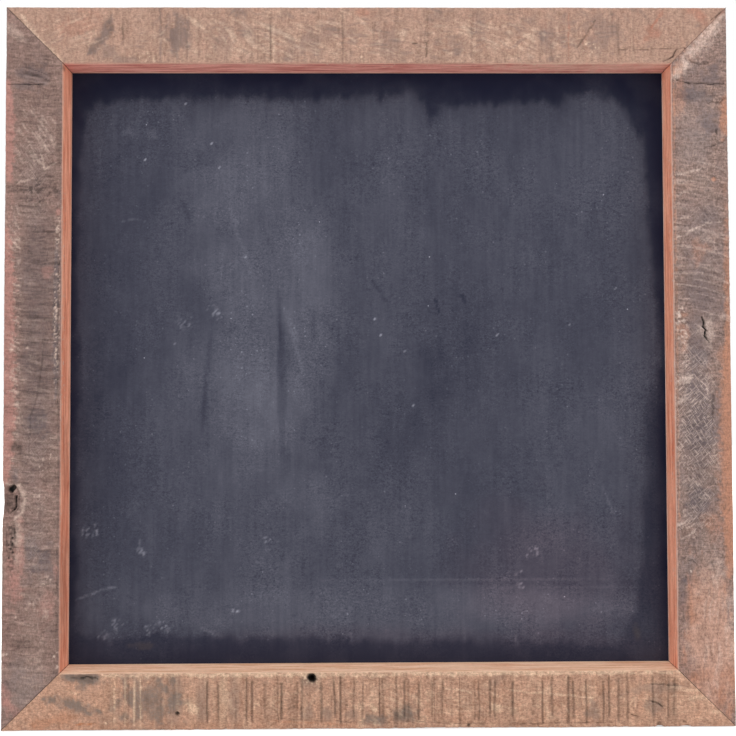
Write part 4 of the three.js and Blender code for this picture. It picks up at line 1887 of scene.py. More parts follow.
@dataclass(frozen=True)
class Studio:
    """Pale floor, white background and soft lights.

    Attributes:
        ambient: Part of the light that comes evenly from all round.
        softboxes: The lights.
        floor_size: Side of the floor, in metres.
        floor_gap: Gap between the frame and the floor, in metres.
        floor_glow: Light that the floor adds to itself where the camera sees it.
        floor_tones: The two tones of the floor's fine grain.
    """

    ambient: float = 0.6
    softboxes: tuple[Softbox, ...] = (
        Softbox("light_left", -71, 4, 0.4),
        Softbox("light_right", 71, 4, 0.4),
        Softbox("light_top", 0, 70, 0.5),
        Softbox("light_back", 165, 35, 0.75),
    )
    floor_size: float = 4.0
    floor_gap: float = 0.0002
    floor_glow: float = 0.55
    floor_tones: tuple[Tone, Tone] = ((232, 232, 230), (240, 240, 239))

    def build(self, layout: Layout) -> None:
        """Make the lights, the world and the floor.

        Args:
            layout: Places of the frame's faces.
        """
        for softbox in self.softboxes:
            softbox.build(layout.middle)
        self.world()
        self.floor(layout.bottom * MM - self.floor_gap)

    def floor(self, height: float) -> None:
        """Make the floor.

        Args:
            height: Its height, in metres.
        """
        bm = bmesh.new()
        bmesh.ops.create_grid(bm, x_segments=8, y_segments=8, size=self.floor_size / 2)
        bmesh.ops.translate(bm, vec=(0, 0, height), verts=bm.verts)
        floor = finished("floor", bm)
        s = Shading("pale_floor")
        seen = s.node("LightPath").outputs["Is Camera Ray"]
        grain = s.noise(s.place((40, 40, 40)), detail=3)
        colour = s.mix(s.spread(grain, 0.3, 0.7), *self.floor_tones)
        s.surface(Base_Color=colour, Roughness=0.9, Emission_Color=(255, 255, 255),
                  Emission_Strength=s.times(seen, self.floor_glow))
        floor.data.materials.append(s.material)

    def world(self) -> None:
        """Make a world that looks white and lights the board evenly."""
        world = bpy.data.worlds.new("studio")
        world.use_nodes = True
        bpy.context.scene.world = world
        tree = world.node_tree
        background = tree.nodes["Background"]
        path = tree.nodes.new("ShaderNodeLightPath")
        seen = path.outputs["Is Camera Ray"]
        for name in ("Is Glossy Ray", "Is Transmission Ray"):
            both = tree.nodes.new("ShaderNodeMath")
            both.operation = "MAXIMUM"
            tree.links.new(seen, both.inputs[0])
            tree.links.new(path.outputs[name], both.inputs[1])
            seen = both.outputs[0]
        strength = tree.nodes.new("ShaderNodeMapRange")
        tree.links.new(seen, strength.inputs[0])
        strength.inputs[3].default_value, strength.inputs[4].default_value = self.ambient, 1.0
        tree.links.new(strength.outputs[0], background.inputs["Strength"])
        background.inputs["Color"].default_value = (1, 1, 1, 1)


# The finishes of this board

GREY, RUST, SHADE, PALE, SCRATCH = Layer
DUST, WARM, STAIN = Trace

# The fresh colours of the walls beside the panel hold painted light, lighter than the wood itself
TOP_TIMBER = Timber(
    sound=(186, 150, 132), deep=(142, 110, 94), grey=(138, 115, 107), rust=(178, 118, 98),
    pale=(228, 198, 174), fresh=(238, 170, 156), fresh_streak=(196, 108, 100), contrast=0.5,
    kerf=0.24, weathered=0.28, flushed=0.18)
RIGHT_TIMBER = Timber(
    sound=(160, 133, 123), deep=(106, 86, 80), grey=(112, 98, 99), rust=(178, 127, 104),
    pale=(214, 190, 178), fresh=(240, 170, 142), fresh_streak=(212, 126, 98), contrast=0.78,
    kerf=0.32, weathered=0.5, flushed=0.16)
BOTTOM_TIMBER = Timber(
    sound=(203, 161, 137), deep=(150, 108, 86), grey=(134, 116, 106), rust=(186, 124, 90),
    pale=(236, 204, 174), fresh=(240, 200, 172), fresh_streak=(216, 162, 130), contrast=0.58,
    kerf=0.22, weathered=0.28, flushed=0.2)
LEFT_TIMBER = Timber(
    sound=(148, 120, 111), deep=(102, 81, 74), grey=(112, 97, 97), rust=(174, 127, 117),
    pale=(206, 180, 166), fresh=(240, 170, 142), fresh_streak=(208, 122, 94), contrast=0.6,
    kerf=0.38, weathered=0.36, flushed=0.16)
PALE_GLUE = DriedGlue((168, 126, 108))
DARK_GLUE = DriedGlue((62, 44, 38))

TOP_SAW = SawMarks(
    pitch=3.0, dark=0.1, pale=0.08, depth=0.06, strong_dark=0.19,
    strong=(107, 121, 128.6, 168, 176.6, 208, 224.6, 282, 291.3, 311, 409, 419.7))
BOTTOM_SAW = SawMarks(
    pitch=3.1, dark=0.17, pale=0.14, depth=0.12, span=(66, 446), strong_dark=0.46,
    strong=(135, 142.2, 160.4, 164.1, 173, 181.3, 183.9, 193.8, 196.9, 209.5, 218.4, 222.5, 230.9, 236.6,
            247.7, 249.8, 258.6, 263.9, 266.5, 273.3, 282.2, 283.7, 289, 300.5, 310.5, 313.1, 320.4, 323.6,
            335.6, 355, 361.3, 371.9, 375, 383.4, 394.9, 398.6, 405.2, 410.9, 427.5, 437.8, 441.7))
LEFT_SAW = SawMarks(pitch=2.2, slope=3.0, bow=1.5, dark=0.14, pale=0.12, depth=0.08)
RIGHT_SAW = SawMarks(pitch=2.4, slope=-9.0, bow=-2.2, dark=0.12, pale=0.26, depth=0.08, span=(92, 215))


# The wear of this board

# Marks on the top rail, by along and across
TOP_MARKS = (
    Stroke(PALE, 0.45, ((10, 5.5), (23, 24), (38, 37)), 6, soft=0.9),
    Patch(RUST, 0.28, (47, 13), (46, 18), -22, soft=0.9),
    Hatch(PALE, 0.3, (46, 18), (46, 22), -22),
    Stroke(GREY, 1.0, ((55, 32), (65, 21), (70, 6)), 11, soft=0.9),
    Stroke(SHADE, 0.16, ((56, 31), (66, 19), (70, 7)), 9, soft=0.9),
    Patch(SHADE, 0.24, (69.6, 16), (6, 13), depth=0.2),
    Stroke(SHADE, 0.3, ((78.1, 9), (78.1, 26)), 2.6, depth=0.2),
    Patch(GREY, 0.5, (69, 31), (12, 9)),
    Patch(GREY, 0.5, (79, 36), (16, 5)),
    Speckle(PALE, 0.9, (91, 34.5), (18, 8), 1.1, 0.3, depth=-0.1),
    Stroke(GREY, 0.6, ((103, 1), (103, 38)), 2.6),
    Patch(GREY, 0.75, (114.3, 21), (18, 28)),
    Patch(SHADE, 0.12, (114.3, 20), (10, 26)),
    Stroke(GREY, 0.7, ((114.2, 5), (114.2, 36)), 4, soft=0.9),
    Stroke(PALE, 0.4, ((121, 7), (134, 17)), 4, soft=0.9),
    Patch(GREY, 0.35, (145, 20), (12, 26)),
    Patch(GREY, 0.4, (156, 3), (16, 7)),
    Patch(GREY, 0.4, (162, 16), (12, 16)),
    Stroke(SHADE, 0.22, ((176.6, 12), (176.6, 38)), 1.8, 0.5, depth=0.2),
    Stroke(PALE, 0.25, ((178.4, 14), (178.4, 37)), 1.6, 0.5, depth=-0.1),
    Stroke(PALE, 0.3, ((170, 12), (196, 23)), 5, soft=0.9),
    Patch(GREY, 0.35, (188, 31), (16, 10)),
    Patch(GREY, 0.45, (203, 25), (16, 20)),
    Patch(GREY, 0.35, (216, 15), (14, 14)),
    Stroke(SHADE, 0.2, ((224.6, 2), (224.6, 38)), 1.6, 0.5, depth=0.15),
    Patch(RUST, 0.4, (239.5, 4), (16, 7)),
    Patch(PALE, 0.9, (237, 34), (1.6, 1.6), ragged=0.1),
    Patch(GREY, 0.4, (254, 23), (18, 20)),
    Stroke(SHADE, 0.55, ((271.5, 24.7), (280.6, 24.2), (280.5, 36.6)), 1.1, 0.3, depth=0.5),
    Patch(GREY, 0.4, (289, 7), (14, 9)),
    Patch(GREY, 0.4, (299, 28), (16, 14)),
    Patch(GREY, 0.35, (316, 13), (10, 22)),
    Patch(GREY, 0.6, (362, 21), (22, 34), soft=0.9),
    Stroke(RUST, 0.5, ((376.2, 3), (376.2, 36)), 1.8),
    Patch(GREY, 0.5, (400, 16.5), (24, 26)),
    Stroke(SHADE, 0.4, ((394.5, 9), (387, 20), (381.6, 28)), 2.4, soft=0.8, depth=0.3),
    Speckle(PALE, 0.8, (392, 28), (14, 12), 1.1, 0.25, depth=-0.1),
    Stroke(SHADE, 0.5, ((408, 28.7), (415.7, 29.5), (426.6, 28.9), (447.5, 28.1)), 1.0, 0.3, depth=0.5),
    Patch(RUST, 0.45, (432, 17.6), (14, 9)),
    Stroke(RUST, 0.7, ((432, 14), (440, 2)), 3),
    Patch(RUST, 0.5, (464, 6.5), (24, 10), 40),
    Stroke(SHADE, 0.6, ((438, 38), (446.4, 33.2), (448.6, 28.6), (453, 27.5), (459.6, 31)), 1.3, 0.3,
           depth=0.8),
    Stroke(SHADE, 0.5, ((472, 9), (475.3, 6.5), (481, 2)), 1.6, depth=0.4),
    Hatch(PALE, 0.35, (330, 22), (110, 30), 20, 1.5, 5),
    Hatch(PALE, 0.3, (200, 20), (200, 36), 22, 1.5, 6),
    Hatch(GREY, 0.5, (260, 18), (440, 40), 4, 2.2, 7),
)

# Marks on the left stile, with its knot and the hollow beside it
LEFT_MARKS = (
    Patch(GREY, 0.6, (47, 18), (20, 26)),
    Hatch(SHADE, 0.4, (47, 20), (18, 28), 70, 1.5, 8, depth=0.15),
    Stroke(SHADE, 0.5, ((52.5, 2), (52.5, 26)), 1.2, 0.3, depth=0.4),
    Patch(RUST, 0.75, (86, 2.6), (64, 6), soft=0.8),
    Hatch(PALE, 0.45, (88, 21), (44, 30), 33, 1.5, 9),
    Patch(SHADE, 0.25, (90, 36), (24, 4)),
    Stroke(PALE, 0.5, ((98.7, 24), (109.8, 26.7), (104.7, 34.3)), 1.6),
    Speckle(SHADE, 0.45, (125, 24), (22, 30), 1.3, 0.4, depth=0.2),
    Stroke(PALE, 0.4, ((119, 9), (114.5, 20)), 1.6),
    Patch(RUST, 0.7, (137.5, 35.5), (6, 4)),
    Stroke(SHADE, 0.45, ((151.1, 19), (151.1, 33)), 2.4, depth=0.4),
    Speckle(PALE, 0.9, (155, 36), (28, 5), 1.0, 0.3, depth=-0.1),
    Hatch(PALE, 0.45, (152, 5), (36, 10), 35, 1.5, 7),
    Stroke(SHADE, 0.35, ((172.6, 20), (172.6, 37)), 1.6, depth=0.25),
    Patch(RUST, 0.4, (178, 29), (8, 7)),
    Stroke(GREY, 0.8, ((156, 35), (210, 34.6), (262, 35)), 5, 0.8, broken=0.2),
    Stroke(SHADE, 0.35, ((156, 36.6), (210, 36.2), (300, 36.6)), 1.3, 0.4, depth=0.15),
    Speckle(PALE, 1.0, (206, 35.2), (118, 4.4), 1.0, 0.34, depth=-0.08),
    Stroke(RUST, 0.75, ((150, 2), (190, 3.4), (240, 4), (290, 3.6), (318, 1.5)), 12, 1.8, 0.5, 0.1),
    Stroke(RUST, 0.75, ((52, 2), (80, 3.4), (116, 2.4)), 10, 1.6, 0.6, 0.2),
    Patch(PALE, 0.2, (448, 18), (70, 34), ragged=0.5, soft=0.9, grain=12),
    Hatch(PALE, 0.55, (222, 8.6), (150, 7), 66, 1.4, 5, depth=-0.05),
    Patch(SCRATCH, 0.4, (112, 20), (84, 36), ragged=0.5, soft=0.9, grain=10),
    Patch(SCRATCH, 0.35, (340, 22), (150, 34), ragged=0.6, soft=0.9, grain=10),
    Patch(PALE, 1.0, (228, 16), (1.8, 1.8), ragged=0.1, depth=-0.1),
    Stroke(SHADE, 0.24, ((225, 27), (241, 25.5), (260.6, 22.7), (273, 18.6), (300, 17.5)), 1.5, 0.4,
           broken=0.3, depth=0.2),
    Patch(GREY, 0.4, (278.6, 23), (16, 14)),
    Patch(RUST, 0.35, (273, 6), (20, 7)),
    Patch(RUST, 0.4, (299, 4), (18, 6)),
    Patch(SHADE, 0.35, (294.5, 9), (9, 8), depth=0.2),
    Patch(GREY, 0.6, (309, 8.4), (15, 7)),
    Speckle(PALE, 0.8, (303, 27), (22, 12), 1.0, 0.22, depth=-0.1),
    Stroke(PALE, 0.5, ((317.5, 2.4), (318.6, 11.2), (326.8, 15.6), (336.6, 13.1), (340.9, 8.3)), 4.2,
           soft=0.8, depth=-0.15),
    Patch(SHADE, 0.9, (321, 6.3), (5.6, 5), soft=0.4, depth=1.6, through=True),
    Stroke(SHADE, 0.85, ((325, 9.4), (332.6, 9.7), (336.8, 5.7)), 2.0, depth=1.2),
    Patch(SHADE, 0.4, (329, 4), (20, 9), depth=0.2),
    Stroke(PALE, 0.5, ((321, 24.4), (327, 24.8)), 1.4),
    Stroke(PALE, 0.5, ((333, 23.3), (340, 23.6)), 1.4),
    Speckle(SHADE, 0.6, (359, 6), (40, 8), 1.2, 0.45, depth=0.3),
    Patch(RUST, 0.6, (355, 12.5), (30, 5)),
    Patch(PALE, 0.35, (354, 11), (40, 7), ragged=0.5, soft=0.9),
    Hatch(SHADE, 0.4, (357, 5.4), (46, 8), 3, 1.5, 8, depth=0.2),
    Stroke(SHADE, 0.4, ((318.5, 10), (325, 12), (333, 11.2), (338.5, 7.8)), 1.3, 0.5, depth=0.2),
    Stroke(SHADE, 0.3, ((300, 36.9), (350, 36.5), (400, 36.9), (446, 36.6)), 1.7, 0.7, depth=0.15),
    Patch(GREY, 0.45, (356, 20), (12, 10)),
    Patch(GREY, 0.6, (371, 27), (26, 20)),
    Speckle(PALE, 0.9, (380, 30), (10, 8), 1.0, 0.25),
    Patch(RUST, 0.5, (374, 35.5), (14, 4)),
    Patch(RUST, 0.4, (385, 8.6), (16, 10)),
    Hatch(PALE, 0.45, (402, 26), (18, 14), 0, 1.6, 6),
    Patch(SHADE, 0.25, (423, 17), (14, 16)),
    Patch(GREY, 0.6, (452, 15), (22, 28), 40),
    Patch(RUST, 0.6, (455, 3), (24, 7), 15),
    Patch(RUST, 0.5, (466, 10), (18, 8), 45),
    *(Patch(PALE, 1.0, at, (1.8, 1.5), depth=-0.1)
      for at in ((404.6, 10), (428.6, 4.2), (428.9, 1.8), (427.6, 37), (436.9, 37), (430, 35))),
    Patch(GREY, 0.35, (435, 11), (14, 10)),
    Patch(RUST, 0.5, (380, 8), (34, 12)),
    Patch(RUST, 0.35, (398, 30), (30, 12), ragged=0.6, grain=8),
    Patch(PALE, 0.3, (18, 6), (20, 8), 45),
    Patch(GREY, 0.5, (220, 22), (330, 26), ragged=0.4, soft=0.8, grain=26),
    Patch(SHADE, 0.12, (215, 24), (190, 26), ragged=0.4, soft=0.8, grain=18),
    Patch(RUST, 0.2, (230, 3), (470, 7), soft=0.8),
    Hatch(PALE, 0.2, (330, 20), (240, 34), 75, 1.6, 7),
    Hatch(SHADE, 0.22, (230, 20), (440, 38), 88, 1.5, 9, depth=0.08),
)

# Marks on the right stile, with its long crack and crossed scratches
RIGHT_MARKS = (
    Stroke(PALE, 0.55, ((6, 3), (20, 14), (34, 26), (48, 35)), 15, 1.6, soft=0.9),
    Stroke(RUST, 0.45, ((4, 3), (20, 15), (36, 29), (46, 36)), 12, 1.6, soft=0.9),
    Patch(RUST, 0.4, (62, 33), (22, 9)),
    Patch(RUST, 0.35, (43, 33), (10, 8)),
    Patch(GREY, 0.6, (45.6, 9.5), (20, 14)),
    Stroke(SHADE, 0.6, ((48.6, 36.8), (50.8, 30), (51.7, 23), (52, 10.5), (51.7, 0.2)), 1.4, depth=0.9),
    Stroke(SHADE, 0.45, ((36, 25.7), (39.6, 19), (37.4, 10.3)), 1.2, depth=0.5),
    Stroke(SHADE, 0.5, ((65.9, 14), (64.2, 10.7), (64.2, 5.5), (61.6, 1.6)), 1.2, depth=0.6),
    Stroke(SHADE, 0.45, ((96.5, 18), (92.2, 5.9), (87.9, 0)), 1.1, depth=0.5),
    Patch(GREY, 0.7, (60, 24), (12, 28)),
    Patch(SHADE, 0.2, (60, 22), (8, 22)),
    Patch(RUST, 0.8, (75, 2.6), (28, 6)),
    Patch(GREY, 0.6, (79, 12.6), (20, 14)),
    Patch(SHADE, 0.6, (84.7, 7.9), (4, 1.6), depth=0.6),
    Stroke(PALE, 0.45, ((113.7, 36), (109.4, 18)), 1.8),
    Stroke(PALE, 0.45, ((127.4, 36), (122.3, 23)), 1.8),
    Stroke(PALE, 0.45, ((143.7, 36), (140.7, 26)), 1.8),
    Stroke(PALE, 0.45, ((155.7, 36), (145.4, 14), (144.6, 5)), 1.8),
    Patch(RUST, 0.8, (116, 10.5), (4, 4)),
    Patch(RUST, 0.75, (250, 2.2), (240, 5.5), ragged=0.35, soft=0.7),
    Stroke(SHADE, 0.32, ((150, 36.3), (200, 36.1), (262, 36.4), (330, 36.6)), 1.5, 0.5, depth=0.2),
    Stroke(RUST, 0.6, ((40, 36.2), (120, 36.4), (262, 36.2), (360, 36.4)), 2.4, 0.6, soft=0.8),
    Stroke(PALE, 0.15, ((120, 35.8), (262, 36), (330, 36)), 1.8, 0.6, soft=0.8),
    Patch(RUST, 0.35, (165, 21), (16, 12)),
    Patch(RUST, 0.4, (219, 32), (30, 7)),
    Patch(PALE, 0.35, (216, 16.5), (22, 11)),
    Patch(PALE, 0.1, (216, 15), (20, 14), ragged=0.6),
    Speckle(PALE, 0.8, (214, 33), (34, 9), 1.2, 0.4, depth=-0.05),
    Stroke(SHADE, 1.0, ((208.4, 19.8), (212.2, 18.3), (214.8, 18.9), (217.5, 17), (220.8, 17.8), (226, 14.6)),
           1.6, 0.5, soft=0.5, broken=0.2, depth=1.0),
    Stroke(SHADE, 0.4, ((218.6, 9), (220.4, 5.2), (223.6, 5.6), (224.2, 9)), 1.1, depth=0.3),
    Patch(GREY, 0.5, (199.7, 4.4), (6, 5)),
    Patch(RUST, 0.4, (234, 6.2), (14, 7)),
    Patch(GREY, 0.6, (234, 21.5), (14, 16)),
    Hatch(PALE, 0.7, (252, 31), (32, 12), 72, 1.4, 10, depth=-0.08),
    Stroke(PALE, 0.45, ((249, 23), (254.5, 17.5), (262, 15)), 1.6),
    Stroke(SHADE, 0.4, ((259, 12.4), (277, 12.8)), 2.4, depth=0.25),
    Patch(SCRATCH, 0.8, (288, 25), (130, 30), ragged=0.35, soft=0.5, grain=8),
    Patch(SCRATCH, 0.3, (150, 20), (110, 34), ragged=0.5, soft=0.8, grain=10),
    Patch(GREY, 0.35, (292, 25), (110, 28), ragged=0.4, soft=0.7, grain=10),
    Patch(PALE, 0.14, (92, 20), (80, 36), ragged=0.5, soft=0.9, grain=10),
    Hatch(SHADE, 0.25, (300, 25), (90, 26), 62, 1.8, 9, depth=0.08),
    Stroke(RUST, 0.8, ((222, 1), (262, 4), (310, 4.4), (380, 3)), 15, 1.6, 0.85, 0.0),
    Patch(GREY, 0.55, (327, 20), (13, 28)),
    Hatch(PALE, 0.55, (343, 31), (22, 13), 65, 1.5, 7),
    Patch(RUST, 0.35, (346, 15), (16, 12)),
    Patch(GREY, 0.6, (376, 29), (18, 18)),
    Stroke(SHADE, 0.35, ((371, 33), (369.4, 28), (372.6, 24.4), (377, 25), (378, 28.6)), 1.2, depth=0.3),
    Patch(PALE, 1.0, (376.7, 29), (1.8, 1.8), ragged=0.1, depth=-0.1),
    Patch(RUST, 0.7, (352, 3.3), (26, 6)),
    Hatch(PALE, 0.2, (415, 13), (110, 22), 2, 1.6, 12),
    Hatch(SHADE, 0.2, (418, 17), (116, 36), 3, 1.7, 12, depth=0.1),
    Hatch(RUST, 0.5, (420, 16), (110, 34), 3, 2.6, 18),
    Patch(GREY, 0.6, (394, 34), (20, 6)),
    Patch(GREY, 0.5, (403, 4), (14, 6)),
    Patch(GREY, 0.5, (433, 29), (16, 9)),
    Patch(GREY, 0.5, (441.5, 25), (12, 9)),
    Patch(GREY, 0.5, (456, 18.5), (12, 12)),
    Patch(GREY, 0.5, (461, 12), (12, 9)),
    Patch(RUST, 0.7, (470, 5), (12, 8), 45),
    Patch(GREY, 0.65, (190, 22), (250, 30), ragged=0.7, soft=0.8, grain=24),
    Patch(SHADE, 0.1, (320, 22), (200, 26), ragged=0.5, grain=16),
    Patch(PALE, 0.26, (424, 16), (120, 36), ragged=0.6, grain=12),
    Patch(RUST, 0.85, (424, 14), (124, 32), ragged=0.5, grain=14),
    Patch(RUST, 0.45, (436, 20), (96, 36), ragged=0.4, grain=10),
)

# Marks on the bottom rail, with the rim of its nail hole
BOTTOM_MARKS = (
    Patch(GREY, 1.0, (54, 34), (26, 9), -6, ragged=0.5),
    Patch(SHADE, 0.3, (54, 34), (22, 7), -6, depth=0.2),
    Stroke(SHADE, 0.6, ((43, 35), (50, 33.5), (57, 35), (63, 33.6)), 1.4, depth=0.5),
    Patch(GREY, 0.6, (54, 29), (9, 6)),
    Stroke(GREY, 1.0, ((28, 21.5), (46.6, 17.4), (66, 11)), 10, soft=0.9),
    Stroke(PALE, 0.35, ((41, 26.6), (52, 23.7)), 2.0),
    *(Stroke(PALE, 0.5, ((along, 3), (along, 34)), 1.8, 0.3) for along in (74.5, 81.5, 87.5, 91.6)),
    Stroke(PALE, 0.55, ((66, 36), (446, 36)), 4.6, 1.4, soft=0.7),
    Patch(RUST, 0.35, (36, 7), (34, 9), 8),
    Patch(PALE, 0.9, (69, 5), (2, 2), ragged=0.1),
    Stroke(RUST, 0.9, ((50, 4.2), (62, 5)), 1.4),
    Patch(GREY, 0.8, (96, 20), (44, 40), soft=0.8),
    Patch(GREY, 0.5, (114, 19), (12, 34), ragged=0.25),
    Patch(GREY, 0.4, (131.7, 19), (10, 36), ragged=0.25),
    Patch(PALE, 0.3, (145.8, 19), (8, 34), ragged=0.25),
    Patch(GREY, 0.4, (152.6, 19), (9, 36), ragged=0.25),
    Patch(SHADE, 0.9, (115.6, 10.9), (2.6, 2.4), ragged=0.2, soft=0.4, depth=1.0),
    Patch(PALE, 0.45, (125.5, 14.7), (7, 10)),
    Patch(GREY, 0.6, (203.6, 32), (15, 12), ragged=0.3, soft=0.8),
    Speckle(PALE, 1.0, (203.6, 33.2), (15, 8), 1.1, 0.35, depth=-0.1),
    # Painted shade in the nail hole, on its rim and down its wall
    Patch(SHADE, 0.85, (203.6, 33.2), (6.4, 5.8), ragged=0.25, soft=0.35, depth=0.4, through=True),
    Patch(GREY, 0.4, (200, 11.6), (10, 10)),
    Stroke(RUST, 0.35, ((174.5, 6.1), (202, 4.6), (230.9, 2.1)), 1.5),
    Stroke(SHADE, 0.4, ((262, 5.4), (300, 3.4), (345, 3), (402, 3.6)), 1.1, 0.6, depth=0.25),
    Stroke(SHADE, 0.3, ((180, 7), (215, 5.4), (262, 3.6)), 1.0, 0.6, depth=0.2),
    Patch(SHADE, 0.12, (254, 8), (34, 14), ragged=0.5, depth=0.1),
    Patch(GREY, 0.8, (246, 6.5), (19, 8), ragged=0.5, grain=3),
    Patch(GREY, 0.8, (264, 10.5), (17, 13), ragged=0.5, grain=3),
    Patch(GREY, 0.5, (214, 10), (10, 9), ragged=0.5, grain=3),
    Patch(GREY, 0.4, (230, 9), (9, 7), ragged=0.5, grain=3),
    Patch(PALE, 0.6, (244.5, 13), (5, 4)),
    Stroke(PALE, 0.6, ((285, 27.8), (309, 23.4)), 1.8),
    Stroke(PALE, 0.5, ((334, 24.8), (362, 22), (388.7, 19.8)), 1.8),
    Patch(GREY, 0.3, (323.7, 32), (10, 8)),
    Patch(PALE, 0.4, (325, 13), (8, 10)),
    Patch(SHADE, 0.8, (306.2, 2.2), (2.6, 2.2), ragged=0.2, depth=0.5),
    Patch(GREY, 0.5, (388, 11), (9, 16)),
    Stroke(SHADE, 0.3, ((417.8, 28.3), (433.3, 27.9), (453.3, 26.4)), 1.2, 0.3, depth=0.3),
    Stroke(SHADE, 0.55, ((422.9, 17.5), (429, 16.4), (434, 13.6)), 1.2, 0.3, broken=0.2, depth=0.5),
    Stroke(SHADE, 0.6, ((412.5, 8.6), (418.7, 6.8)), 1.3, 0.3, depth=0.6),
    *(Patch(SHADE, 0.45, at, (3.4, 2.4), depth=0.6) for at in ((431.8, 2.2), (447.9, 3.6), (450, 1))),
    Patch(GREY, 0.5, (427.4, 14.7), (14, 12)),
    Patch(GREY, 0.4, (433, 26), (34, 7)),
    Hatch(PALE, 0.35, (456, 20), (40, 34), 2, 1.8, 14),
    Patch(RUST, 0.14, (120, 3), (200, 6), soft=0.8),
    Speckle(SHADE, 0.35, (250, 19), (400, 38), 1.2, 0.16, depth=0.15),
    Hatch(PALE, 0.25, (300, 16), (330, 30), -12, 1.8, 7),
)

# Marks on the walls beside the panel, by along and depth
LIP_MARKS = {
    Side.TOP: (
        Patch(RUST, 0.5, (40, 9), (60, 9), ragged=0.3),
        Patch(PALE, 0.3, (395, 6), (170, 14), ragged=0.5),
        Patch(GREY, 0.2, (230, 8), (200, 10), ragged=0.6),
        Speckle(PALE, 0.4, (240, 4), (440, 8), 1.6, 0.2),
    ),
    Side.RIGHT: (
        Patch(RUST, 0.5, (330, 9), (200, 10), ragged=0.6),
        Patch(GREY, 0.25, (150, 9), (160, 10), ragged=0.6),
        Speckle(PALE, 0.5, (240, 4), (440, 8), 1.6, 0.2),
    ),
    Side.BOTTOM: (
        Patch(RUST, 0.3, (120, 8), (120, 9), ragged=0.6),
        Speckle(PALE, 0.4, (240, 8), (440, 14), 1.6, 0.2),
    ),
    Side.LEFT: (
        Patch(RUST, 0.5, (380, 8), (170, 12), ragged=0.6),
        Patch(SHADE, 0.16, (300, 8), (60, 12), ragged=0.6),
        Patch(SHADE, 0.26, (388, 7), (100, 16), ragged=0.4, soft=0.9, grain=12),
        Patch(SHADE, 0.45, (41.5, 2.5), (5, 4)),
        Speckle(PALE, 0.5, (240, 4), (440, 8), 1.6, 0.2),
    ),
}

KNOT_HOLLOW = Hollow(at=328, length=25, reach=18, depth=0.9)
NICKS = (Hollow(432, 5, 3, 0.9), Hollow(449, 8, 3, 0.7), Hollow(300, 60, 25, 0.25))

# Outline of the area that chalk has been rubbed over, by right and down
WIPED = (
    (4.5, 380), (4, 300), (5, 200), (4, 100), (7, 44), (10, 28), (15.7, 22), (39.7, 18.6), (88, 17),
    (122, 16.5), (157, 20), (171, 17), (191, 18), (206.6, 13.7), (212, 17), (234, 13), (241, 20),
    (246.6, 36), (252, 24), (274, 22), (295, 22), (323, 20), (337, 24), (340, 16), (347, 15), (358, 13),
    (365, 15), (371.5, 18.6), (382, 25.6), (387, 36), (392, 46.5), (395, 67), (398, 123), (401, 158),
    (404, 178), (400.5, 213), (393, 240), (391, 295), (389, 336), (386, 363), (380, 390), (361, 393),
    (293, 389), (224, 389), (156, 387), (89, 385.5), (55, 382.6), (30, 388), (10, 386),
)

# White specks of chalk, by right and down
SPECKS = (
    (50, 60), (101.7, 65), (90.6, 100), (119, 127.7), (95.7, 48.6), (77.6, 21), (68.4, 8), (208, 170),
    (211.6, 181), (227.8, 191.6), (233.7, 228.8), (342, 174.7), (373.6, 149.7), (382.4, 130.7), (292, 181),
    (70.3, 186), (308, 353),
)

# Small smudges of fine strokes, by right and down
SMUDGES = (
    (21, 384), (34.5, 378), (50, 385), (14, 315), (51, 326), (61.6, 378), (134.5, 322.5), (315, 329),
    (305, 347), (78, 170.6), (98.5, 165.5), (393.4, 379.7),
)

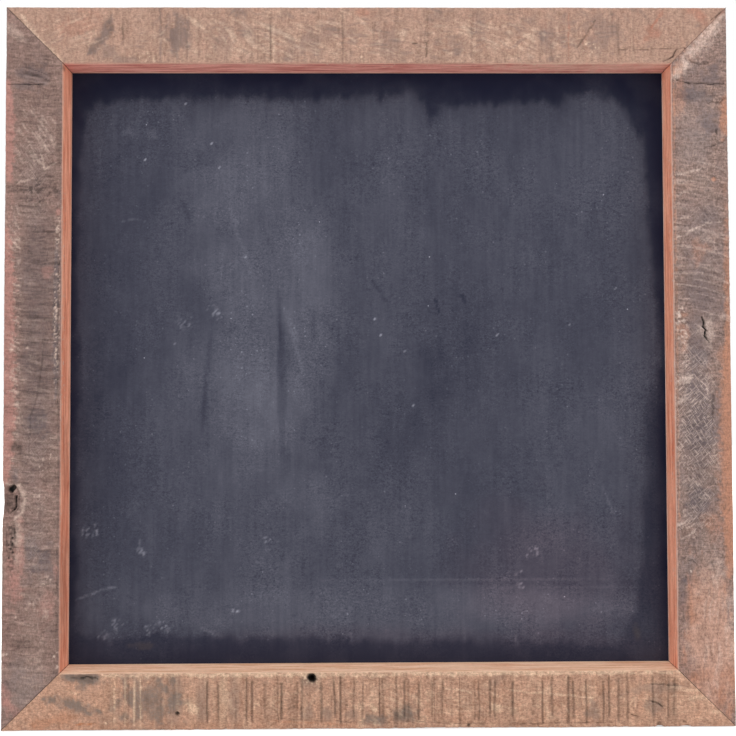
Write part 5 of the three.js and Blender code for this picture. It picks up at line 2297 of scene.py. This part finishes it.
# Traces on the panel, by right and down
PANEL_MARKS = (
    Patch(DUST, 0.05, (132, 180), (110, 330), ragged=0.5, soft=0.9, grain=34),
    Patch(DUST, 0.03, (143, 226), (46, 70), ragged=0.6, soft=0.9, grain=16),
    Patch(DUST, 0.025, (112, 157), (34, 60), ragged=0.6, soft=0.9, grain=14),
    Patch(DUST, 0.025, (102, 88), (44, 50), ragged=0.6, soft=0.9, grain=14),
    Patch(DUST, 0.03, (157, 294), (60, 50), ragged=0.6, soft=0.9, grain=16),
    Patch(DUST, -0.022, (24, 200), (70, 460), ragged=0.3, soft=0.8, grain=30),
    Patch(DUST, -0.016, (256, 200), (60, 80), ragged=0.6, soft=0.9, grain=20),
    Patch(DUST, -0.014, (340, 180), (60, 90), ragged=0.6, soft=0.9, grain=20),
    Patch(DUST, 0.035, (230, 368), (380, 42), ragged=0.3, soft=0.7, grain=20),
    Patch(WARM, 0.8, (330, 345), (150, 110), ragged=0.3, soft=0.8, grain=20),
    Patch(WARM, 0.5, (230, 395), (460, 30), ragged=0.3, soft=0.6, grain=20),
    Stroke(DUST, 0.035, ((127, 347), (238, 347.8), (390, 348.5)), 1.9, 0.3),
    Stroke(DUST, 0.028, ((238, 352.5), (390, 353.3)), 1.8, 0.3),
    Patch(DUST, 0.025, (314, 366), (150, 24), ragged=0.3, soft=0.7, grain=14),
    Patch(DUST, 0.03, (37, 41), (12, 8)),
    Patch(DUST, 0.03, (55, 43), (10, 7)),
    Stroke(DUST, 0.06, ((34, 103), (43, 101), (52, 103)), 1.8),
    Patch(DUST, -0.035, (79, 97), (5, 22), -18, ragged=0.5, soft=0.9, grain=8),
    Stroke(DUST, 0.035, ((108, 92), (113, 108), (119, 126), (123, 140)), 4, 1.2, 0.9, 0.8),
    Stroke(DUST, -0.03, ((131, 104), (135, 116), (139, 128)), 3, 0.8, 0.9, 0.4),
    Stroke(DUST, 0.06, ((72.9, 199), (73, 233)), 1.6, 0.3),
    Patch(DUST, -0.04, (92.6, 212), (4.6, 84), 5, ragged=0.22, soft=0.8, grain=11),
    Stroke(DUST, 0.02, ((118, 178), (118, 215), (117, 256)), 44, 2.5, 0.5, 0.0),
    Patch(DUST, -0.052, (143.9, 214), (7, 100), -0.5, ragged=0.14, soft=0.55, grain=13),
    Patch(DUST, -0.03, (142, 168), (3, 48), -3, ragged=0.1, soft=0.6, grain=9),
    Patch(DUST, -0.02, (149, 194), (8, 56), -8, ragged=0.3, soft=0.9, grain=10),
    Stroke(DUST, 0.035, ((144.5, 160), (150.5, 178), (155.5, 195), (159, 209)), 3.8, 0.6, 0.8, 0.4),
    Stroke(DUST, 0.03, ((148, 164), (154, 180), (157.5, 192)), 2.6, 0.6, 0.8, 0.4),
    Patch(DUST, -0.025, (165.4, 170), (5, 40), 4, ragged=0.5, soft=0.9, grain=9),
    Stroke(DUST, -0.04, ((205.7, 143), (216, 158)), 3.4, soft=0.9),
    Stroke(DUST, -0.04, ((249, 156), (252, 166)), 3, soft=0.9),
    Stroke(DUST, -0.04, ((263, 154), (268, 154), (270, 160)), 3, soft=0.9),
    *(Patch(DUST, 0.36, at, (1.6, 1.5), ragged=0.3) for at in SPECKS),
    *(Hatch(DUST, 0.2, at, (12, 10), 62, 1.2, 4) for at in SMUDGES),
    Stroke(DUST, 0.12, ((0, 362), (21, 354), (33.5, 351)), 1.8, 0.3),
    Stroke(DUST, 0.09, ((88, 378), (99, 385)), 2.2),
    Patch(DUST, 0.4, (111, 368), (2.2, 2), ragged=0.3),
    Patch(DUST, 0.4, (114, 368.4), (2, 2), ragged=0.3),
    Stroke(DUST, 0.06, ((302.8, 386), (302.8, 396)), 4),
    Stroke(DUST, 0.05, ((190.5, 383), (190.5, 391)), 4),
    Stroke(DUST, 0.05, ((362, 282), (372, 307)), 2.6, soft=0.9),
    Patch(STAIN, 0.4, (50, 391), (18, 5)),
    Patch(STAIN, 0.45, (385.6, 385), (5, 10)),
)


# The object


def build_rails(layout: Layout) -> None:
    """Make the four rails and the glue in their mitres.

    Args:
        layout: Places of the frame's faces.
    """
    lip = LIP_MARKS
    Rail(Side.TOP, layout, TOP_TIMBER, TOP_SAW, TOP_MARKS, lip[Side.TOP], lip_rim=0.5).build()
    Rail(Side.RIGHT, layout, RIGHT_TIMBER, RIGHT_SAW, RIGHT_MARKS, lip[Side.RIGHT], lip_rim=0.75).build()
    Rail(Side.BOTTOM, layout, BOTTOM_TIMBER, BOTTOM_SAW, BOTTOM_MARKS, lip[Side.BOTTOM], NICKS).build(
        [NailHole().cutter(layout)])
    Rail(Side.LEFT, layout, LEFT_TIMBER, LEFT_SAW, LEFT_MARKS, lip[Side.LEFT], (KNOT_HOLLOW,),
         lip_rim=0.5).build()
    for corner in Corner:
        tight = corner is Corner.TOP_RIGHT
        GlueLine(corner, layout, PALE_GLUE if tight else DARK_GLUE, sunk=0.35 if tight else 0.5).build()


def main() -> None:
    """Build the chalkboard and its studio in order."""
    logging.basicConfig(level=logging.INFO, format="%(message)s")
    layout = Layout.from_part()
    bpy.context.scene.view_settings.view_transform = "Standard"
    Camera().build(layout)
    Studio().build(layout)
    build_rails(layout)
    Panel(layout, PANEL_MARKS, WIPED).build()
    metal = ZincPlate().material()
    build_nails_and_points(metal)
    for side in (Side.LEFT, Side.RIGHT):
        Hanger(side, metal).build()


if __name__ == "__main__":
    main()
